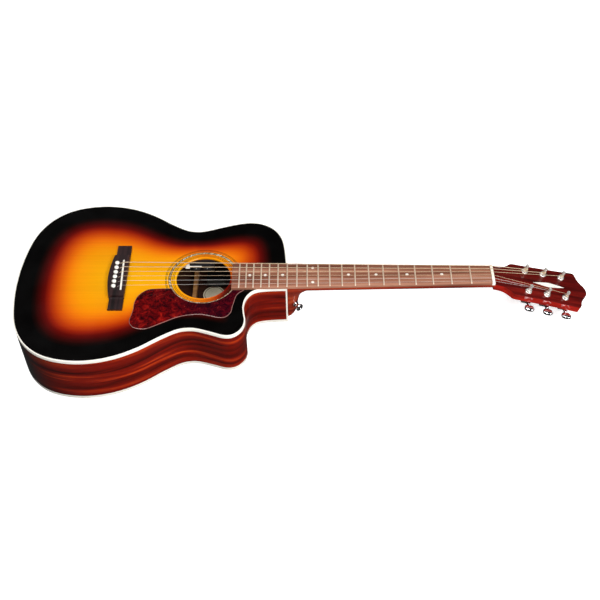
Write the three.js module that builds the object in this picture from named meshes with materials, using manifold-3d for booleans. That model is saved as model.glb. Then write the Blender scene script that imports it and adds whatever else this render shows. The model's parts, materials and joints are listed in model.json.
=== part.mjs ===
// Cutaway acoustic-electric guitar lying on its back, neck along +X, bass side +Y.
// Lengths are millimetres. Inside the guitar group x is 0 where the neck meets the body
// and z is 0 on top of the soundboard; the group is then tipped so that the flat middle
// of the tapering body's back rests on the ground.
import * as THREE from 'three';
import { mergeVertices } from 'three/addons/utils/BufferGeometryUtils.js';
import Module from 'manifold-3d';

const wasm = await Module();
wasm.setup();

// driving dimensions
const gap = 0.3; // clearance between neighbouring pieces
const weldDistance = 1e-4;
const cutterReach = 20; // how far cutting tools pass beyond what they cut
const roundSides = 12;
const scaleLength = 648;
const joinFret = 14;
const fretCount = 20;
const bodyLength = 479;
const rimDepthAtNeck = 90;
const rimDepthAtTail = 106;
const backArch = 3;
const backArchCentre = [-250, 0];
const sideThickness = 2.6;
const boardThickness = 3;
const bindingWidth = 2.3;
const bindingHeight = 6.3;
const farAway = 600; // cutting boxes that take a whole half of the body
const liningWidth = 5;
const liningHeight = 12;
const outlineSteps = 76;
const holeCentre = -148;
const holeRadius = 48;
const holeSides = 32;
const rosetteInner = 52;
const rosetteOuter = 67.5;
const rosetteDepth = 1.2;
const ringSides = 40;
const pickguardThickness = 1;
const fingerboardThickness = 6;
const fingerboardEnd = -97.4;
const nutWidth = 43;
const joinWidth = 54.7;
const nutLength = 4.7;
const fretHeight = 1.1;
const fretWidth = 2.6;
const neckDepthAtNut = 15.5;
const headAngle = 15 * Math.PI / 180;
const headFaceHeight = 3;
const veneerThickness = 1.5;
const headThickness = 14.3;
const postSpots = [61.5, 96.5, 131.5];
const postOffset = 24;
const postHeight = 16;
const postRadius = 3;
const postHoleRadius = 4.6;
const wormOffset = 6.2;
const knobDrop = 19;
const saddlePlace = -291;
const saddleLength = 72;
const saddleSlant = 2.6 / 72;
const saddleThickness = 3;
const saddleSlotFloor = 4;
const saddleFoot = 5.7;
const bridgeFront = -283.3;
const bridgeHalfLength = 76;
const bridgeMiddleHalfLength = 49;
const bridgeWingHeight = 4.2;
const bridgeHeight = 9.2;
const pinPlace = -303;
const pinSpacing = 11;
const pinHoleRadius = 3;
const grooveLength = 5; // string groove in the bridge in front of each pin
const grooveHalfWidth = 1.1;
const grooveFloor = 2;
const stringDiameters = [0.3, 0.4, 0.6, 0.8, 1.07, 1.35];
const middleString = 2.5;
const stringSpacingAtNut = 7.2;
const stringSpacingAtSaddle = 11;
const stringHeightAtNut = 7.6;
const stringHeightAtSaddle = 11.8;
const windingHeight = 8;

// half outline of the body from the neck to the tail, as [x, half width]
const halfOutline = [
  [-0.5, 30], [-4, 73], [-11, 101], [-25, 122], [-46, 135.3], [-70, 139.4], [-97, 135.2],
  [-126, 126.4], [-152, 118.3], [-169, 116.9], [-187, 121], [-214, 136.3], [-246, 157.6],
  [-278, 173.5], [-312, 183.2], [-348, 186.3], [-384, 181.6], [-414, 170], [-439, 150],
  [-457, 124], [-468.5, 94], [-475.5, 56], [-478.6, 22],
];
// the treble side leaves the half outline at the waist and rounds the horn into the cutaway
const firstMirrored = 7;
const cutawayOutline = [
  [-108, -132.4], [-94, -132.5], [-82, -125.8], [-73.5, -114], [-70.4, -99], [-72.6, -84],
  [-74.3, -68], [-71.8, -52], [-65, -39], [-54, -31], [-36, -27.8], [-15, -26.8], [0, -26.6],
];
const cutawayEnd = 26.6;
const stripLength = 5;

const pickguardOutline = [
  [-218, -25.6], [-231.5, -26.2], [-243.6, -28], [-253.3, -35], [-260.9, -45.4], [-264.5, -59.2],
  [-264.7, -73], [-266.5, -86.4], [-268.6, -97.6], [-266.7, -106.4], [-259.8, -114.2],
  [-249.3, -117.5], [-235.8, -116.5], [-210, -103.5], [-182.2, -90.3], [-148.3, -86],
  [-111.9, -93.6], [-97, -84], [-92.8, -64.9], [-87, -41.9], [-75, -30.4],
];
const pickguardHoleRadius = 60;

const headHalfOutline = [
  [0, 21.8], [12, 22.4], [20, 24.6], [27, 29], [33, 34], [39, 36.4], [62, 36.8], [100, 37.8],
  [138, 39.4], [155, 40.6], [158.5, 39.8], [160.7, 36.4], [162, 31.5], [163.8, 25.5],
  [166.5, 20.3], [170.5, 15.2], [174.2, 10.3], [176.6, 4.6],
];
const headTip = 177.3;
const neckUnderHead = 381;
const rodStart = 6;
const rodEnd = 329;
const rodHeight = -5.5;

// the back's rim is deeper towards the tail
const rimSlope = (rimDepthAtTail - rimDepthAtNeck) / bodyLength;
const rimZ = (x) => -rimDepthAtNeck + rimSlope * x;
const backAngle = Math.atan(rimSlope);

const fretX = (fret) => scaleLength * (2 ** (-fret / 12) - 2 ** (-joinFret / 12));
const nutEdge = fretX(0);
const headStart = nutEdge + nutLength + 4 * gap;
const boardSlope = (joinWidth - nutWidth) / 2 / nutEdge;
const boardHalfWidth = (x) => nutWidth / 2 + (nutEdge - x) * boardSlope;

const colours = {
  topLacquer: [0xd07a12, 0.2, 0],
  sideLacquer: [0x8a2a12, 0.2, 0],
  bareWood: [0xc79a64, 0.7, 0],
  neckLacquer: [0xa8391a, 0.22, 0],
  headLacquer: [0x4a120e, 0.2, 0],
  ivoryPlastic: [0xf1ece0, 0.3, 0],
  tortoise: [0x5c0d12, 0.18, 0],
  pearl: [0xd9d2c4, 0.25, 0],
  rosewood: [0x6b4038, 0.5, 0],
  darkRosewood: [0x2e1a1c, 0.45, 0],
  chromed: [0xc9ccd0, 0.12, 1],
  steel: [0xb5b5b2, 0.3, 1],
  bronze: [0xc9a070, 0.35, 1],
  blackPlastic: [0x1c1c1e, 0.45, 0],
};

function material(name) {
  const [color, roughness, metalness] = colours[name];
  return new THREE.MeshStandardMaterial({ color, roughness, metalness });
}

// closed mesh with shared corners, facing out
function welded(source) {
  const geometry = source.clone();
  geometry.deleteAttribute('normal');
  geometry.deleteAttribute('uv');
  const merged = mergeVertices(geometry, weldDistance);
  const position = merged.attributes.position;
  const index = merged.index.array;
  const corners = [new THREE.Vector3(), new THREE.Vector3(), new THREE.Vector3()];
  let volume = 0;
  for (let i = 0; i < index.length; i += 3) {
    corners.forEach((corner, k) => corner.fromBufferAttribute(position, index[i + k]));
    volume += corners[0].dot(corners[1].clone().cross(corners[2]));
  }
  if (volume < 0) {
    for (let i = 0; i < index.length; i += 3) {
      [index[i], index[i + 1]] = [index[i + 1], index[i]];
    }
  }
  return merged;
}

function solid(geometry) {
  const mesh = welded(geometry);
  const vertProperties = new Float32Array(mesh.attributes.position.array);
  const triVerts = new Uint32Array(mesh.index.array);
  return new wasm.Manifold(new wasm.Mesh({ numProp: 3, vertProperties, triVerts }));
}

function geometryOf(body) {
  const mesh = body.getMesh();
  const geometry = new THREE.BufferGeometry();
  geometry.setAttribute('position', new THREE.BufferAttribute(new Float32Array(mesh.vertProperties), 3));
  geometry.setIndex(new THREE.BufferAttribute(new Uint32Array(mesh.triVerts), 1));
  return geometry;
}

const joined = (...parts) => geometryOf(parts.map(solid).reduce((all, next) => all.add(next)));
const cut = (blank, ...tools) => geometryOf(
  tools.map(solid).reduce((left, tool) => left.subtract(tool), solid(blank)),
);

function part(name, geometry, colour) {
  const mesh = new THREE.Mesh(welded(geometry), material(colour));
  mesh.geometry.computeVertexNormals();
  mesh.name = name;
  return mesh;
}

const heightAt = (height, x) => (typeof height === 'function' ? height(x) : height);

// upright prism on an outline; its ends are heights or functions of x
function prism(outline, bottom, top, holes = []) {
  const shape = new THREE.Shape(outline.map(([x, y]) => new THREE.Vector2(x, y)));
  shape.holes = holes.map((hole) => new THREE.Path(hole.map(([x, y]) => new THREE.Vector2(x, y))));
  const geometry = new THREE.ExtrudeGeometry(shape, { depth: 1, bevelEnabled: false });
  const position = geometry.attributes.position;
  for (let i = 0; i < position.count; i += 1) {
    const end = position.getZ(i) > 0.5 ? top : bottom;
    position.setZ(i, heightAt(end, position.getX(i)));
  }
  return geometry;
}

// section in u, v carried through numbered stations; place turns (u, v, station) into a point
function loft(section, stationCount, place) {
  const shape = new THREE.Shape(section.map(([u, v]) => new THREE.Vector2(u, v)));
  const steps = stationCount - 1;
  const geometry = new THREE.ExtrudeGeometry(shape, { depth: steps, steps, bevelEnabled: false });
  const position = geometry.attributes.position;
  for (let i = 0; i < position.count; i += 1) {
    const [x, y, z] = place(position.getX(i), position.getY(i), Math.round(position.getZ(i)));
    position.setXYZ(i, x, y, z);
  }
  return geometry;
}

function box(xs, ys, zs) {
  const geometry = new THREE.BoxGeometry(xs[1] - xs[0], ys[1] - ys[0], zs[1] - zs[0]);
  return geometry.translate((xs[0] + xs[1]) / 2, (ys[0] + ys[1]) / 2, (zs[0] + zs[1]) / 2);
}

// upright round bar
function rod(x, y, radius, bottom, top, sides = 16) {
  const geometry = new THREE.CylinderGeometry(radius, radius, top - bottom, sides);
  return geometry.rotateX(Math.PI / 2).translate(x, y, (bottom + top) / 2);
}

// turned part about the z axis from [radius, height] points that start and end on the axis
function turned(profile, sides) {
  const points = profile.map(([radius, height]) => new THREE.Vector2(radius, height));
  return new THREE.LatheGeometry(points, sides).rotateX(Math.PI / 2);
}

function circle(x, y, radius, count) {
  return Array.from({ length: count }, (_, i) => {
    const angle = 2 * Math.PI * i / count;
    return [x + radius * Math.cos(angle), y + radius * Math.sin(angle)];
  });
}

function smooth(points, steps) {
  const curve = new THREE.SplineCurve(points.map(([x, y]) => new THREE.Vector2(x, y)));
  return curve.getPoints(steps).map((point) => [point.x, point.y]);
}

// moves every corner of a counter-clockwise outline inwards by a distance
function inset(outline, distance) {
  const count = outline.length;
  return outline.map(([x, y], i) => {
    const [px, py] = outline[(i + count - 1) % count];
    const [nx, ny] = outline[(i + 1) % count];
    const before = new THREE.Vector2(py - y, x - px).normalize();
    const after = new THREE.Vector2(y - ny, nx - x).normalize();
    const miter = before.clone().add(after).divideScalar(1 + before.dot(after));
    return [x + miter.x * distance, y + miter.y * distance];
  });
}

// ---- body outline
const mirrored = halfOutline.slice(firstMirrored).reverse().map(([x, y]) => [x, -y]);
const outlinePoints = [[0, 0], ...halfOutline, [-bodyLength, 0], ...mirrored, ...cutawayOutline];
const bodyOutline = smooth(outlinePoints, outlineSteps);
bodyOutline.at(-1)[1] = -cutawayEnd;
const tailIndex = bodyOutline.reduce((best, point, i) => (point[0] < bodyOutline[best][0] ? i : best), 0);

function ring(outerInset, width, bottom, top) {
  return prism(inset(bodyOutline, outerInset), bottom, top, [inset(bodyOutline, outerInset + width)]);
}

// strip of wall that follows the outline between two of its points
function wall(first, last, outerInset, width, bottom, top) {
  const outer = inset(bodyOutline, outerInset).slice(first, last + 1);
  const inner = inset(bodyOutline, outerInset + width).slice(first, last + 1);
  return prism([...outer, ...inner.reverse()], bottom, top);
}

const body = new THREE.Group();

function addSoundboard() {
  const outline = inset(bodyOutline, bindingWidth + gap);
  const plate = prism(outline, -boardThickness, 0, [circle(holeCentre, 0, holeRadius, holeSides)]);
  const rosetteBed = prism(
    circle(holeCentre, 0, rosetteOuter + gap, ringSides),
    -rosetteDepth - gap,
    1,
    [circle(holeCentre, 0, rosetteInner - gap, ringSides)],
  );
  body.add(part('soundboard', cut(plate, rosetteBed, ...pinBores()), 'topLacquer'));
  const rosette = prism(
    circle(holeCentre, 0, rosetteOuter, ringSides),
    -rosetteDepth,
    0,
    [circle(holeCentre, 0, rosetteInner, ringSides)],
  );
  body.add(part('rosette', rosette, 'pearl'));
}

function pinRow() {
  return stringDiameters.map((_, i) => (i - middleString) * pinSpacing);
}

function pinBores() {
  return pinRow().map((y) => rod(pinPlace, y, pinHoleRadius, -cutterReach, cutterReach, roundSides));
}

// shallow arch: rings of the outline shrunk towards a centre, each lower than the last
const archRings = [[1, 0], [0.9, 0.55], [0.76, 0.9], [0.6, 1]];

function archedPlate(thickness, lift) {
  const outline = inset(bodyOutline, bindingWidth + gap);
  const count = outline.length;
  const levels = [...archRings.map(([scale, drop]) => [scale, drop, 0]).reverse(),
    ...archRings.map(([scale, drop]) => [scale, drop, thickness])];
  const geometry = new THREE.CylinderGeometry(1, 1, levels.length - 1, count, levels.length - 1);
  const position = geometry.attributes.position;
  const half = (levels.length - 1) / 2;
  for (let i = 0; i < position.count; i += 1) {
    const radius = Math.hypot(position.getX(i), position.getZ(i));
    const turn = Math.atan2(position.getX(i), position.getZ(i)) / (2 * Math.PI);
    const spoke = ((Math.round(turn * count) % count) + count) % count;
    const [scale, drop, up] = levels[Math.round(position.getY(i) + half)];
    const [x, y] = outline[spoke].map((value, axis) => (
      backArchCentre[axis] + (value - backArchCentre[axis]) * scale * (radius > 0.5 ? 1 : 0)
    ));
    position.setXYZ(i, x, y, rimZ(x) - backArch * drop + up + lift);
  }
  return geometry;
}

function addBack() {
  body.add(part('back_plate', archedPlate(boardThickness, 0), 'sideLacquer'));
}

const sideTop = -bindingHeight - gap;
const sideBottom = (x) => rimZ(x) + bindingHeight + gap;
const tenonHalfWidth = 11;
const tenonLength = 24;
const tenonTop = -16;
const tenonBottom = -72;
const jackHeight = -53;
const jackRadius = 5.5;

function tenonPocket() {
  return box(
    [-tenonLength - gap, 5],
    [-tenonHalfWidth - gap, tenonHalfWidth + gap],
    [tenonBottom - gap, tenonTop + gap],
  );
}

function jackBore() {
  const bore = rod(0, 0, jackRadius + 0.4, 0, 60, 20);
  return bore.rotateY(Math.PI / 2).translate(-bodyLength - cutterReach / 2, 0, jackHeight);
}

function addSides() {
  const frontWall = box(
    [-sideThickness, 0],
    [-cutawayEnd + sideThickness - 0.2, 1],
    [sideBottom(0) + 0.1, sideTop],
  );
  const bassStrip = wall(0, tailIndex, 0, sideThickness, sideBottom, sideTop);
  const trebleSpace = box([-farAway, cutterReach], [-farAway, gap / 2], [-farAway, farAway]);
  const bassOnly = geometryOf(solid(bassStrip).subtract(solid(trebleSpace)));
  const bassSide = cut(joined(bassOnly, frontWall), tenonPocket(), jackBore());
  body.add(part('side_bass', bassSide, 'sideLacquer'));

  const last = bodyOutline.length - 1;
  const trebleStrip = wall(tailIndex, last, 0, sideThickness, sideBottom, sideTop);
  const bassSpace = box([-farAway, cutterReach], [-gap / 2, farAway], [-farAway, farAway]);
  const stripSpace = box([-stripLength - gap, cutterReach], [-2 * cutawayEnd, 0], [-farAway, farAway]);
  const trebleSide = cut(trebleStrip, bassSpace, stripSpace, jackBore());
  body.add(part('side_treble', trebleSide, 'sideLacquer'));
  const strip = cut(
    wall(last - 4, last, 0, sideThickness - 0.3, sideBottom, sideTop),
    box([-farAway, -stripLength], [-farAway, farAway], [-farAway, farAway]),
  );
  body.add(part('cutaway_strip', strip, 'ivoryPlastic'));
}

function addBindings() {
  body.add(part('top_binding', ring(0, bindingWidth, -bindingHeight, 0), 'ivoryPlastic'));
  const bottomTop = (x) => rimZ(x) + bindingHeight;
  body.add(part('back_binding', ring(0, bindingWidth, rimZ, bottomTop), 'ivoryPlastic'));
}

const blockHalfWidth = 38;
const blockEnd = -56;
const innerFace = sideThickness + gap;
const backInner = (x) => rimZ(x) + boardThickness + gap;

function addLinings() {
  const first = bodyOutline.findIndex(([, y]) => y > blockHalfWidth + 4);
  const last = bodyOutline.findLastIndex(([x, y]) => x < -66 && y < -35);
  const topLining = wall(first, last, innerFace, liningWidth, -boardThickness - gap - liningHeight,
    -boardThickness - gap);
  const backTop = (x) => backInner(x) + liningHeight;
  const backLining = wall(first, last, innerFace, liningWidth, backInner, backTop);
  body.add(part('top_lining', topLining, 'bareWood'));
  body.add(part('back_lining', backLining, 'bareWood'));
}

function addBlocks() {
  const neckBlock = prism(
    [[-innerFace - 0.2, -cutawayEnd + innerFace], [-innerFace - 0.2, 5],
      [-innerFace - 1.4, blockHalfWidth], [blockEnd, blockHalfWidth],
      [blockEnd, -cutawayEnd + innerFace + 6]],
    backInner,
    -boardThickness - gap,
  );
  body.add(part('neck_block', cut(neckBlock, tenonPocket()), 'bareWood'));

  const tailHalfWidth = 30;
  const tailInner = -bodyLength + innerFace + 1.2;
  const liningClear = tailInner + liningWidth + gap;
  const tailFace = tailInner + 18;
  const top = -boardThickness - gap;
  const bottom = backInner(-bodyLength + 20) + 0.5;
  const profile = [
    [tailFace, top], [liningClear, top], [liningClear, top - liningHeight - gap],
    [tailInner, top - liningHeight - gap], [tailInner, bottom + liningHeight + 1],
    [liningClear, bottom + liningHeight + 1], [liningClear, bottom], [tailFace, bottom],
  ];
  const block = loft(profile, 2, (u, v, k) => [u, (k * 2 - 1) * tailHalfWidth, v]);
  body.add(part('tail_block', cut(block, jackBore()), 'bareWood'));
}

// glued wooden bar between two points on a plate
function bar([x1, y1], [x2, y2], width, bottom, top) {
  const length = Math.hypot(x2 - x1, y2 - y1);
  const geometry = new THREE.BoxGeometry(length, width, top - bottom);
  geometry.rotateZ(Math.atan2(y2 - y1, x2 - x1));
  return geometry.translate((x1 + x2) / 2, (y1 + y2) / 2, (bottom + top) / 2);
}

const braceCross = -246;
const braceSlope = Math.tan(38 * Math.PI / 180);
const legY = (x) => (x - braceCross) * braceSlope;

function addTopBracing() {
  const top = -boardThickness - gap;
  const crossFront = -95;
  const crossBack = -392;
  const bars = [
    bar([crossFront, legY(crossFront)], [crossBack, legY(crossBack)], 7, top - 14, top),
    bar([crossFront, -legY(crossFront)], [crossBack, -legY(crossBack)], 7, top - 14, top),
    bar([-91, -117], [-91, 117], 11, top - 13, top),
    bar([-335, legY(-335)], [-385, 50], 6, top - 9, top),
    bar([-372, legY(-372)], [-432, 15], 6, top - 8, top),
  ];
  body.add(part('top_bracing', joined(...bars), 'bareWood'));
  const plate = prism([[-296, -32], [-296, 32], [-322, 54], [-322, -54]], top - 3, top);
  body.add(part('bridge_plate', cut(plate, ...pinBores()), 'bareWood'));
}

function addBackBracing() {
  const spots = [[-95, 112], [-174, 98], [-262, 145], [-345, 165], [-420, 138]];
  const ladder = spots.map(([x, reach]) => {
    const low = rimZ(x) - backArch;
    return bar([x, -reach], [x, reach], 7, low, low + boardThickness + 15);
  });
  const first = -91;
  const last = -452;
  const centreStrip = loft(
    [[0, -8], [0, 8], [5, 8], [5, -8]],
    2,
    (up, y, k) => [k ? last : first, y, rimZ(k ? last : first) - backArch + up],
  );
  const below = 10;
  const bracing = cut(joined(centreStrip, ...ladder), archedPlate(boardThickness + gap + below, -below));
  body.add(part('back_bracing', bracing, 'bareWood'));
}

function addPickguard() {
  const edge = smooth(pickguardOutline, 40);
  const count = 16;
  const start = Math.atan2(-29.6, 52.2);
  const end = Math.atan2(-25.6, -54.3);
  const arc = Array.from({ length: count + 1 }, (_, i) => {
    const angle = start + (end - start) * i / count;
    return [holeCentre + pickguardHoleRadius * Math.cos(angle), pickguardHoleRadius * Math.sin(angle)];
  });
  const plate = prism([...edge, ...arc], gap, gap + pickguardThickness);
  body.add(part('pickguard', plate, 'tortoise'));
}

function addPreamp() {
  const top = -boardThickness - gap;
  const wheelSpots = [['volume_wheel', -164], ['tone_wheel', -144]];
  const wheelY = 35.5;
  const wheelRadius = 8;
  const wheelTop = top - 5;
  const wheelBottom = top - 8;
  const housing = box([-176, -132], [33, 47], [top - 15, top]);
  const pockets = wheelSpots.map(([, x]) => (
    rod(x, wheelY, wheelRadius + 0.5, wheelBottom - 0.5, wheelTop + 0.5, 20)
  ));
  body.add(part('preamp_housing', cut(housing, ...pockets), 'blackPlastic'));
  wheelSpots.forEach(([name, x]) => {
    body.add(part(name, rod(x, wheelY, wheelRadius, wheelBottom, wheelTop, 16), 'blackPlastic'));
  });
  const batteryFloor = rimZ(-104) + boardThickness + gap;
  const battery = box([-152, -104], [60, 86.5], [batteryFloor + 0.6, batteryFloor + 18.1]);
  body.add(part('battery', battery, 'blackPlastic'));
}

function addJack() {
  const tail = bodyLength;
  const profile = [
    [0, tail - 26], [jackRadius, tail - 26], [jackRadius, tail + gap], [8.5, tail + gap],
    [8.5, tail + 2.5], [5.6, tail + 4], [5.6, tail + 9], [8, tail + 12], [8, tail + 14],
    [3.2, tail + 14], [3.2, tail - 20], [0, tail - 20],
  ];
  const jack = turned(profile, 16).rotateY(-Math.PI / 2).translate(0, 0, jackHeight);
  body.add(part('endpin_jack', jack, 'chromed'));
}

function addBridge() {
  const outline = [
    [bridgeFront, -bridgeHalfLength + 2], [bridgeFront, bridgeHalfLength - 2],
    [bridgeFront - 2, bridgeHalfLength], [-306.5, bridgeHalfLength], [-308.5, bridgeHalfLength - 2],
    [-308.3, 50], [-311, 40], [-314, 22], [-315.7, 0], [-314, -22], [-311, -40], [-308.3, -50],
    [-308.5, -bridgeHalfLength + 2], [-306.5, -bridgeHalfLength], [bridgeFront - 2, -bridgeHalfLength],
  ];
  const middle = outline.map(([x, y]) => [
    x,
    THREE.MathUtils.clamp(y, -bridgeMiddleHalfLength, bridgeMiddleHalfLength),
  ]);
  const middleOutline = middle.filter(([x, y], i) => (
    i === 0 || Math.hypot(x - middle[i - 1][0], y - middle[i - 1][1]) > 0.5
  ));
  const slot = box([-saddleThickness / 2 - gap, saddleThickness / 2 + gap],
    [-saddleLength / 2 - gap, saddleLength / 2 + gap], [saddleSlotFloor, cutterReach]);
  slot.rotateZ(saddleSlant).translate(saddlePlace, 0, 0);
  const grooves = pinRow().map((y) => box(
    [pinPlace, pinPlace + grooveLength],
    [y - grooveHalfWidth, y + grooveHalfWidth],
    [grooveFloor, cutterReach],
  ));
  const block = joined(prism(outline, gap, bridgeWingHeight), prism(middleOutline, gap, bridgeHeight));
  body.add(part('bridge', cut(block, slot, ...pinBores(), ...grooves), 'darkRosewood'));

  const saddleTop = stringHeightAtSaddle - gap;
  const strip = box([-1.4, 1.4], [-saddleLength / 2, saddleLength / 2],
    [saddleSlotFloor + gap, saddleFoot - gap]);
  strip.rotateZ(saddleSlant).translate(saddlePlace, 0, 0);
  body.add(part('piezo_strip', strip, 'bronze'));
  const half = saddleThickness / 2;
  const bevel = 0.8;
  const profile = [[-half, saddleFoot], [half, saddleFoot], [half, saddleTop - bevel], [bevel, saddleTop],
    [-bevel, saddleTop], [-half, saddleTop - bevel]];
  const saddle = loft(profile, 2, (u, v, k) => [u, (k - 0.5) * saddleLength, v]);
  saddle.rotateZ(saddleSlant).translate(saddlePlace, 0, 0);
  body.add(part('saddle', saddle, 'ivoryPlastic'));

  const pinProfile = [
    [0, -11], [2.1, -11], [2.6, bridgeHeight + gap], [3.7, bridgeHeight + gap],
    [3.7, bridgeHeight + 2], [2.4, bridgeHeight + 3.8], [0, bridgeHeight + 4.2],
  ];
  pinRow().forEach((y, i) => {
    const pin = part(`bridge_pin_${i + 1}`, turned(pinProfile, 10), 'ivoryPlastic');
    pin.position.set(pinPlace - 0.1, y, 0);
    body.add(pin);
  });
}

// ---- neck
const halfRound = [[-1, 0]];
for (let i = 0; i <= 10; i += 1) {
  const angle = Math.PI * (1 + i / 10);
  halfRound.push([Math.cos(angle), -0.12 + 0.88 * Math.sin(angle)]);
}
halfRound.push([1, 0]);

function headPlane(geometry) {
  return geometry.rotateY(headAngle).translate(headStart, 0, headFaceHeight);
}

function headOutline() {
  const lower = headHalfOutline.map(([s, y]) => [s, -y]);
  return [...lower, [headTip, 0], ...headHalfOutline.slice().reverse()];
}

function tunerSpots() {
  const treble = postSpots.map((s) => [s, -1]);
  const bass = postSpots.map((s) => [s, 1]);
  return [...treble, ...bass.reverse()];
}

function addNeck() {
  const shaftStations = [
    [gap, 17.5], [60, 17.5], [140, 17.2], [240, 16.4], [335, neckDepthAtNut], [357, neckDepthAtNut],
    [367, neckDepthAtNut], [neckUnderHead, neckDepthAtNut],
  ];
  const headTop = (x) => {
    const past = x - headStart;
    return past > 0 ? -past * Math.tan(headAngle) - 1 : 0;
  };
  const shaft = loft(halfRound, shaftStations.length, (u, v, k) => {
    const [x, depth] = shaftStations[k];
    const half = x > nutEdge ? nutWidth / 2 : boardHalfWidth(x);
    const top = headTop(x);
    return [x, u * half, top + v * (depth + top)];
  });
  const heelStations = [
    [-0.5, 27.2, 60], [-9, 26.6, 58], [-17, 25.5, 42], [-26, 23.5, 29], [-38, 21, 22.5],
    [-55, 18.8, 19], [-70, 17.4, 17.6], [-80, 16.4, 15], [-86, 15.5, 10.5], [-88.6, 14.5, 5],
  ];
  const heelSection = [[0, 1]];
  for (let i = 1; i <= 9; i += 1) {
    const angle = Math.PI / 2 - Math.PI * i / 10;
    heelSection.push([Math.cos(angle) ** 0.9, Math.sin(angle)]);
  }
  heelSection.push([0, -1]);
  const heel = loft(heelSection, heelStations.length, (u, v, k) => {
    const [z, half, length] = heelStations[k];
    return [gap + u * (length - gap), v * half, z];
  });
  const tenon = box(
    [-tenonLength + gap, 4],
    [-tenonHalfWidth, tenonHalfWidth],
    [tenonBottom, tenonTop],
  );
  const head = headPlane(prism(headOutline(), -headThickness, -veneerThickness - gap));
  const postHoles = tunerSpots().map(([s, side]) => (
    rod(s, side * postOffset, postHoleRadius, -cutterReach, cutterReach, roundSides)
  ));
  const rodChannel = box([rodStart, rodEnd], [-3.4, 3.4], [-9.5, 5]);
  const headHoles = postHoles.map((hole) => headPlane(hole.clone()));
  const neck = cut(joined(shaft, heel, tenon, head), ...headHoles, rodChannel);
  body.add(part('neck', neck, 'neckLacquer'));
  const trussRod = rod(0, 0, 2.8, rodStart + gap, rodEnd - gap, 10);
  trussRod.rotateY(Math.PI / 2).translate(0, 0, rodHeight);
  body.add(part('truss_rod', trussRod, 'steel'));
  const veneer = prism(headOutline(), -veneerThickness, 0);
  body.add(part('headstock_veneer', headPlane(cut(veneer, ...postHoles)), 'headLacquer'));
}

function addFingerboard() {
  const top = gap + fingerboardThickness;
  const ends = [fingerboardEnd, nutEdge - gap / 2];
  const board = prism([
    [ends[0], -boardHalfWidth(ends[0])], [ends[1], -boardHalfWidth(ends[1])],
    [ends[1], boardHalfWidth(ends[1])], [ends[0], boardHalfWidth(ends[0])],
  ], gap, top);
  const half = fretWidth / 2;
  const crown = [[-half, -0.6], [half, -0.6], [half * 0.7, fretHeight * 0.8], [0, fretHeight],
    [-half * 0.7, fretHeight * 0.8]];
  const frets = Array.from({ length: fretCount }, (_, i) => {
    const x = fretX(i + 1);
    const reach = boardHalfWidth(x) - 0.3;
    return loft(crown, 2, (u, v, k) => [x + u, (k * 2 - 1) * reach, top + v]);
  });
  body.add(part('fingerboard', joined(board, ...frets), 'rosewood'));
  const nutTop = stringHeightAtNut - gap;
  const profile = [[0, gap], [nutLength, gap], [nutLength, nutTop - 2], [1.5, nutTop], [0, nutTop]];
  const nut = loft(profile, 2, (u, v, k) => [nutEdge + gap + u, (k - 0.5) * (nutWidth - 0.6), v]);
  body.add(part('nut', nut, 'ivoryPlastic'));
}

// ---- strings: 1 is the thinnest, on the treble side
function addStrings() {
  const head = new THREE.Matrix4().makeRotationY(headAngle);
  head.setPosition(headStart, 0, headFaceHeight);
  const spots = tunerSpots();
  stringDiameters.forEach((diameter, i) => {
    const radius = diameter / 2;
    const nutY = (i - middleString) * stringSpacingAtNut;
    const saddleY = (i - middleString) * stringSpacingAtSaddle;
    const [s, side] = spots[i];
    const beside = side * (postOffset - postRadius - radius - gap);
    const end = new THREE.Vector3(s, beside, windingHeight).applyMatrix4(head);
    const points = [
      new THREE.Vector3(pinPlace + 3.9, saddleY, 5.5),
      new THREE.Vector3(pinPlace + 4.2, saddleY, bridgeHeight - 0.2),
      new THREE.Vector3(pinPlace + 5.2, saddleY, bridgeHeight + 0.7 + radius),
      new THREE.Vector3(saddlePlace, saddleY, stringHeightAtSaddle + radius + 0.1),
      new THREE.Vector3(nutEdge + 1.6, nutY, stringHeightAtNut + radius + 0.1),
      end,
    ];
    body.add(part(`string_${i + 1}`, wire(points, radius, 6), i < 2 ? 'steel' : 'bronze'));
  });
}

// round wire through points, mitred at its bends
function wire(points, radius, sides) {
  const section = circle(0, 0, radius, sides);
  return loft(section, points.length, (u, v, k) => {
    const before = points[Math.max(0, k - 1)];
    const after = points[Math.min(points.length - 1, k + 1)];
    const along = new THREE.Vector3().subVectors(after, before).normalize();
    const across = new THREE.Vector3(0, 1, 0).addScaledVector(along, -along.y).normalize();
    const up = new THREE.Vector3().crossVectors(across, along);
    const place = points[k].clone().addScaledVector(across, u).addScaledVector(up, v);
    return [place.x, place.y, place.z];
  });
}

// ---- tuners: sealed worm gear under the head, knob at its side
const housingHalfWidth = 8.5;
const housingHeight = 9.4;
const knobInnerGap = 2.2;
const knobSize = [9.5, 6.5, 4];
const headShoulder = headHalfOutline.find(([s]) => s === 39);
const headCorner = headHalfOutline.find(([s]) => s === 155);
const headEdgeSlope = (headCorner[1] - headShoulder[1]) / (headCorner[0] - headShoulder[0]);
const headEdgeAt = (s) => headShoulder[1] + (s - headShoulder[0]) * headEdgeSlope;

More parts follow.
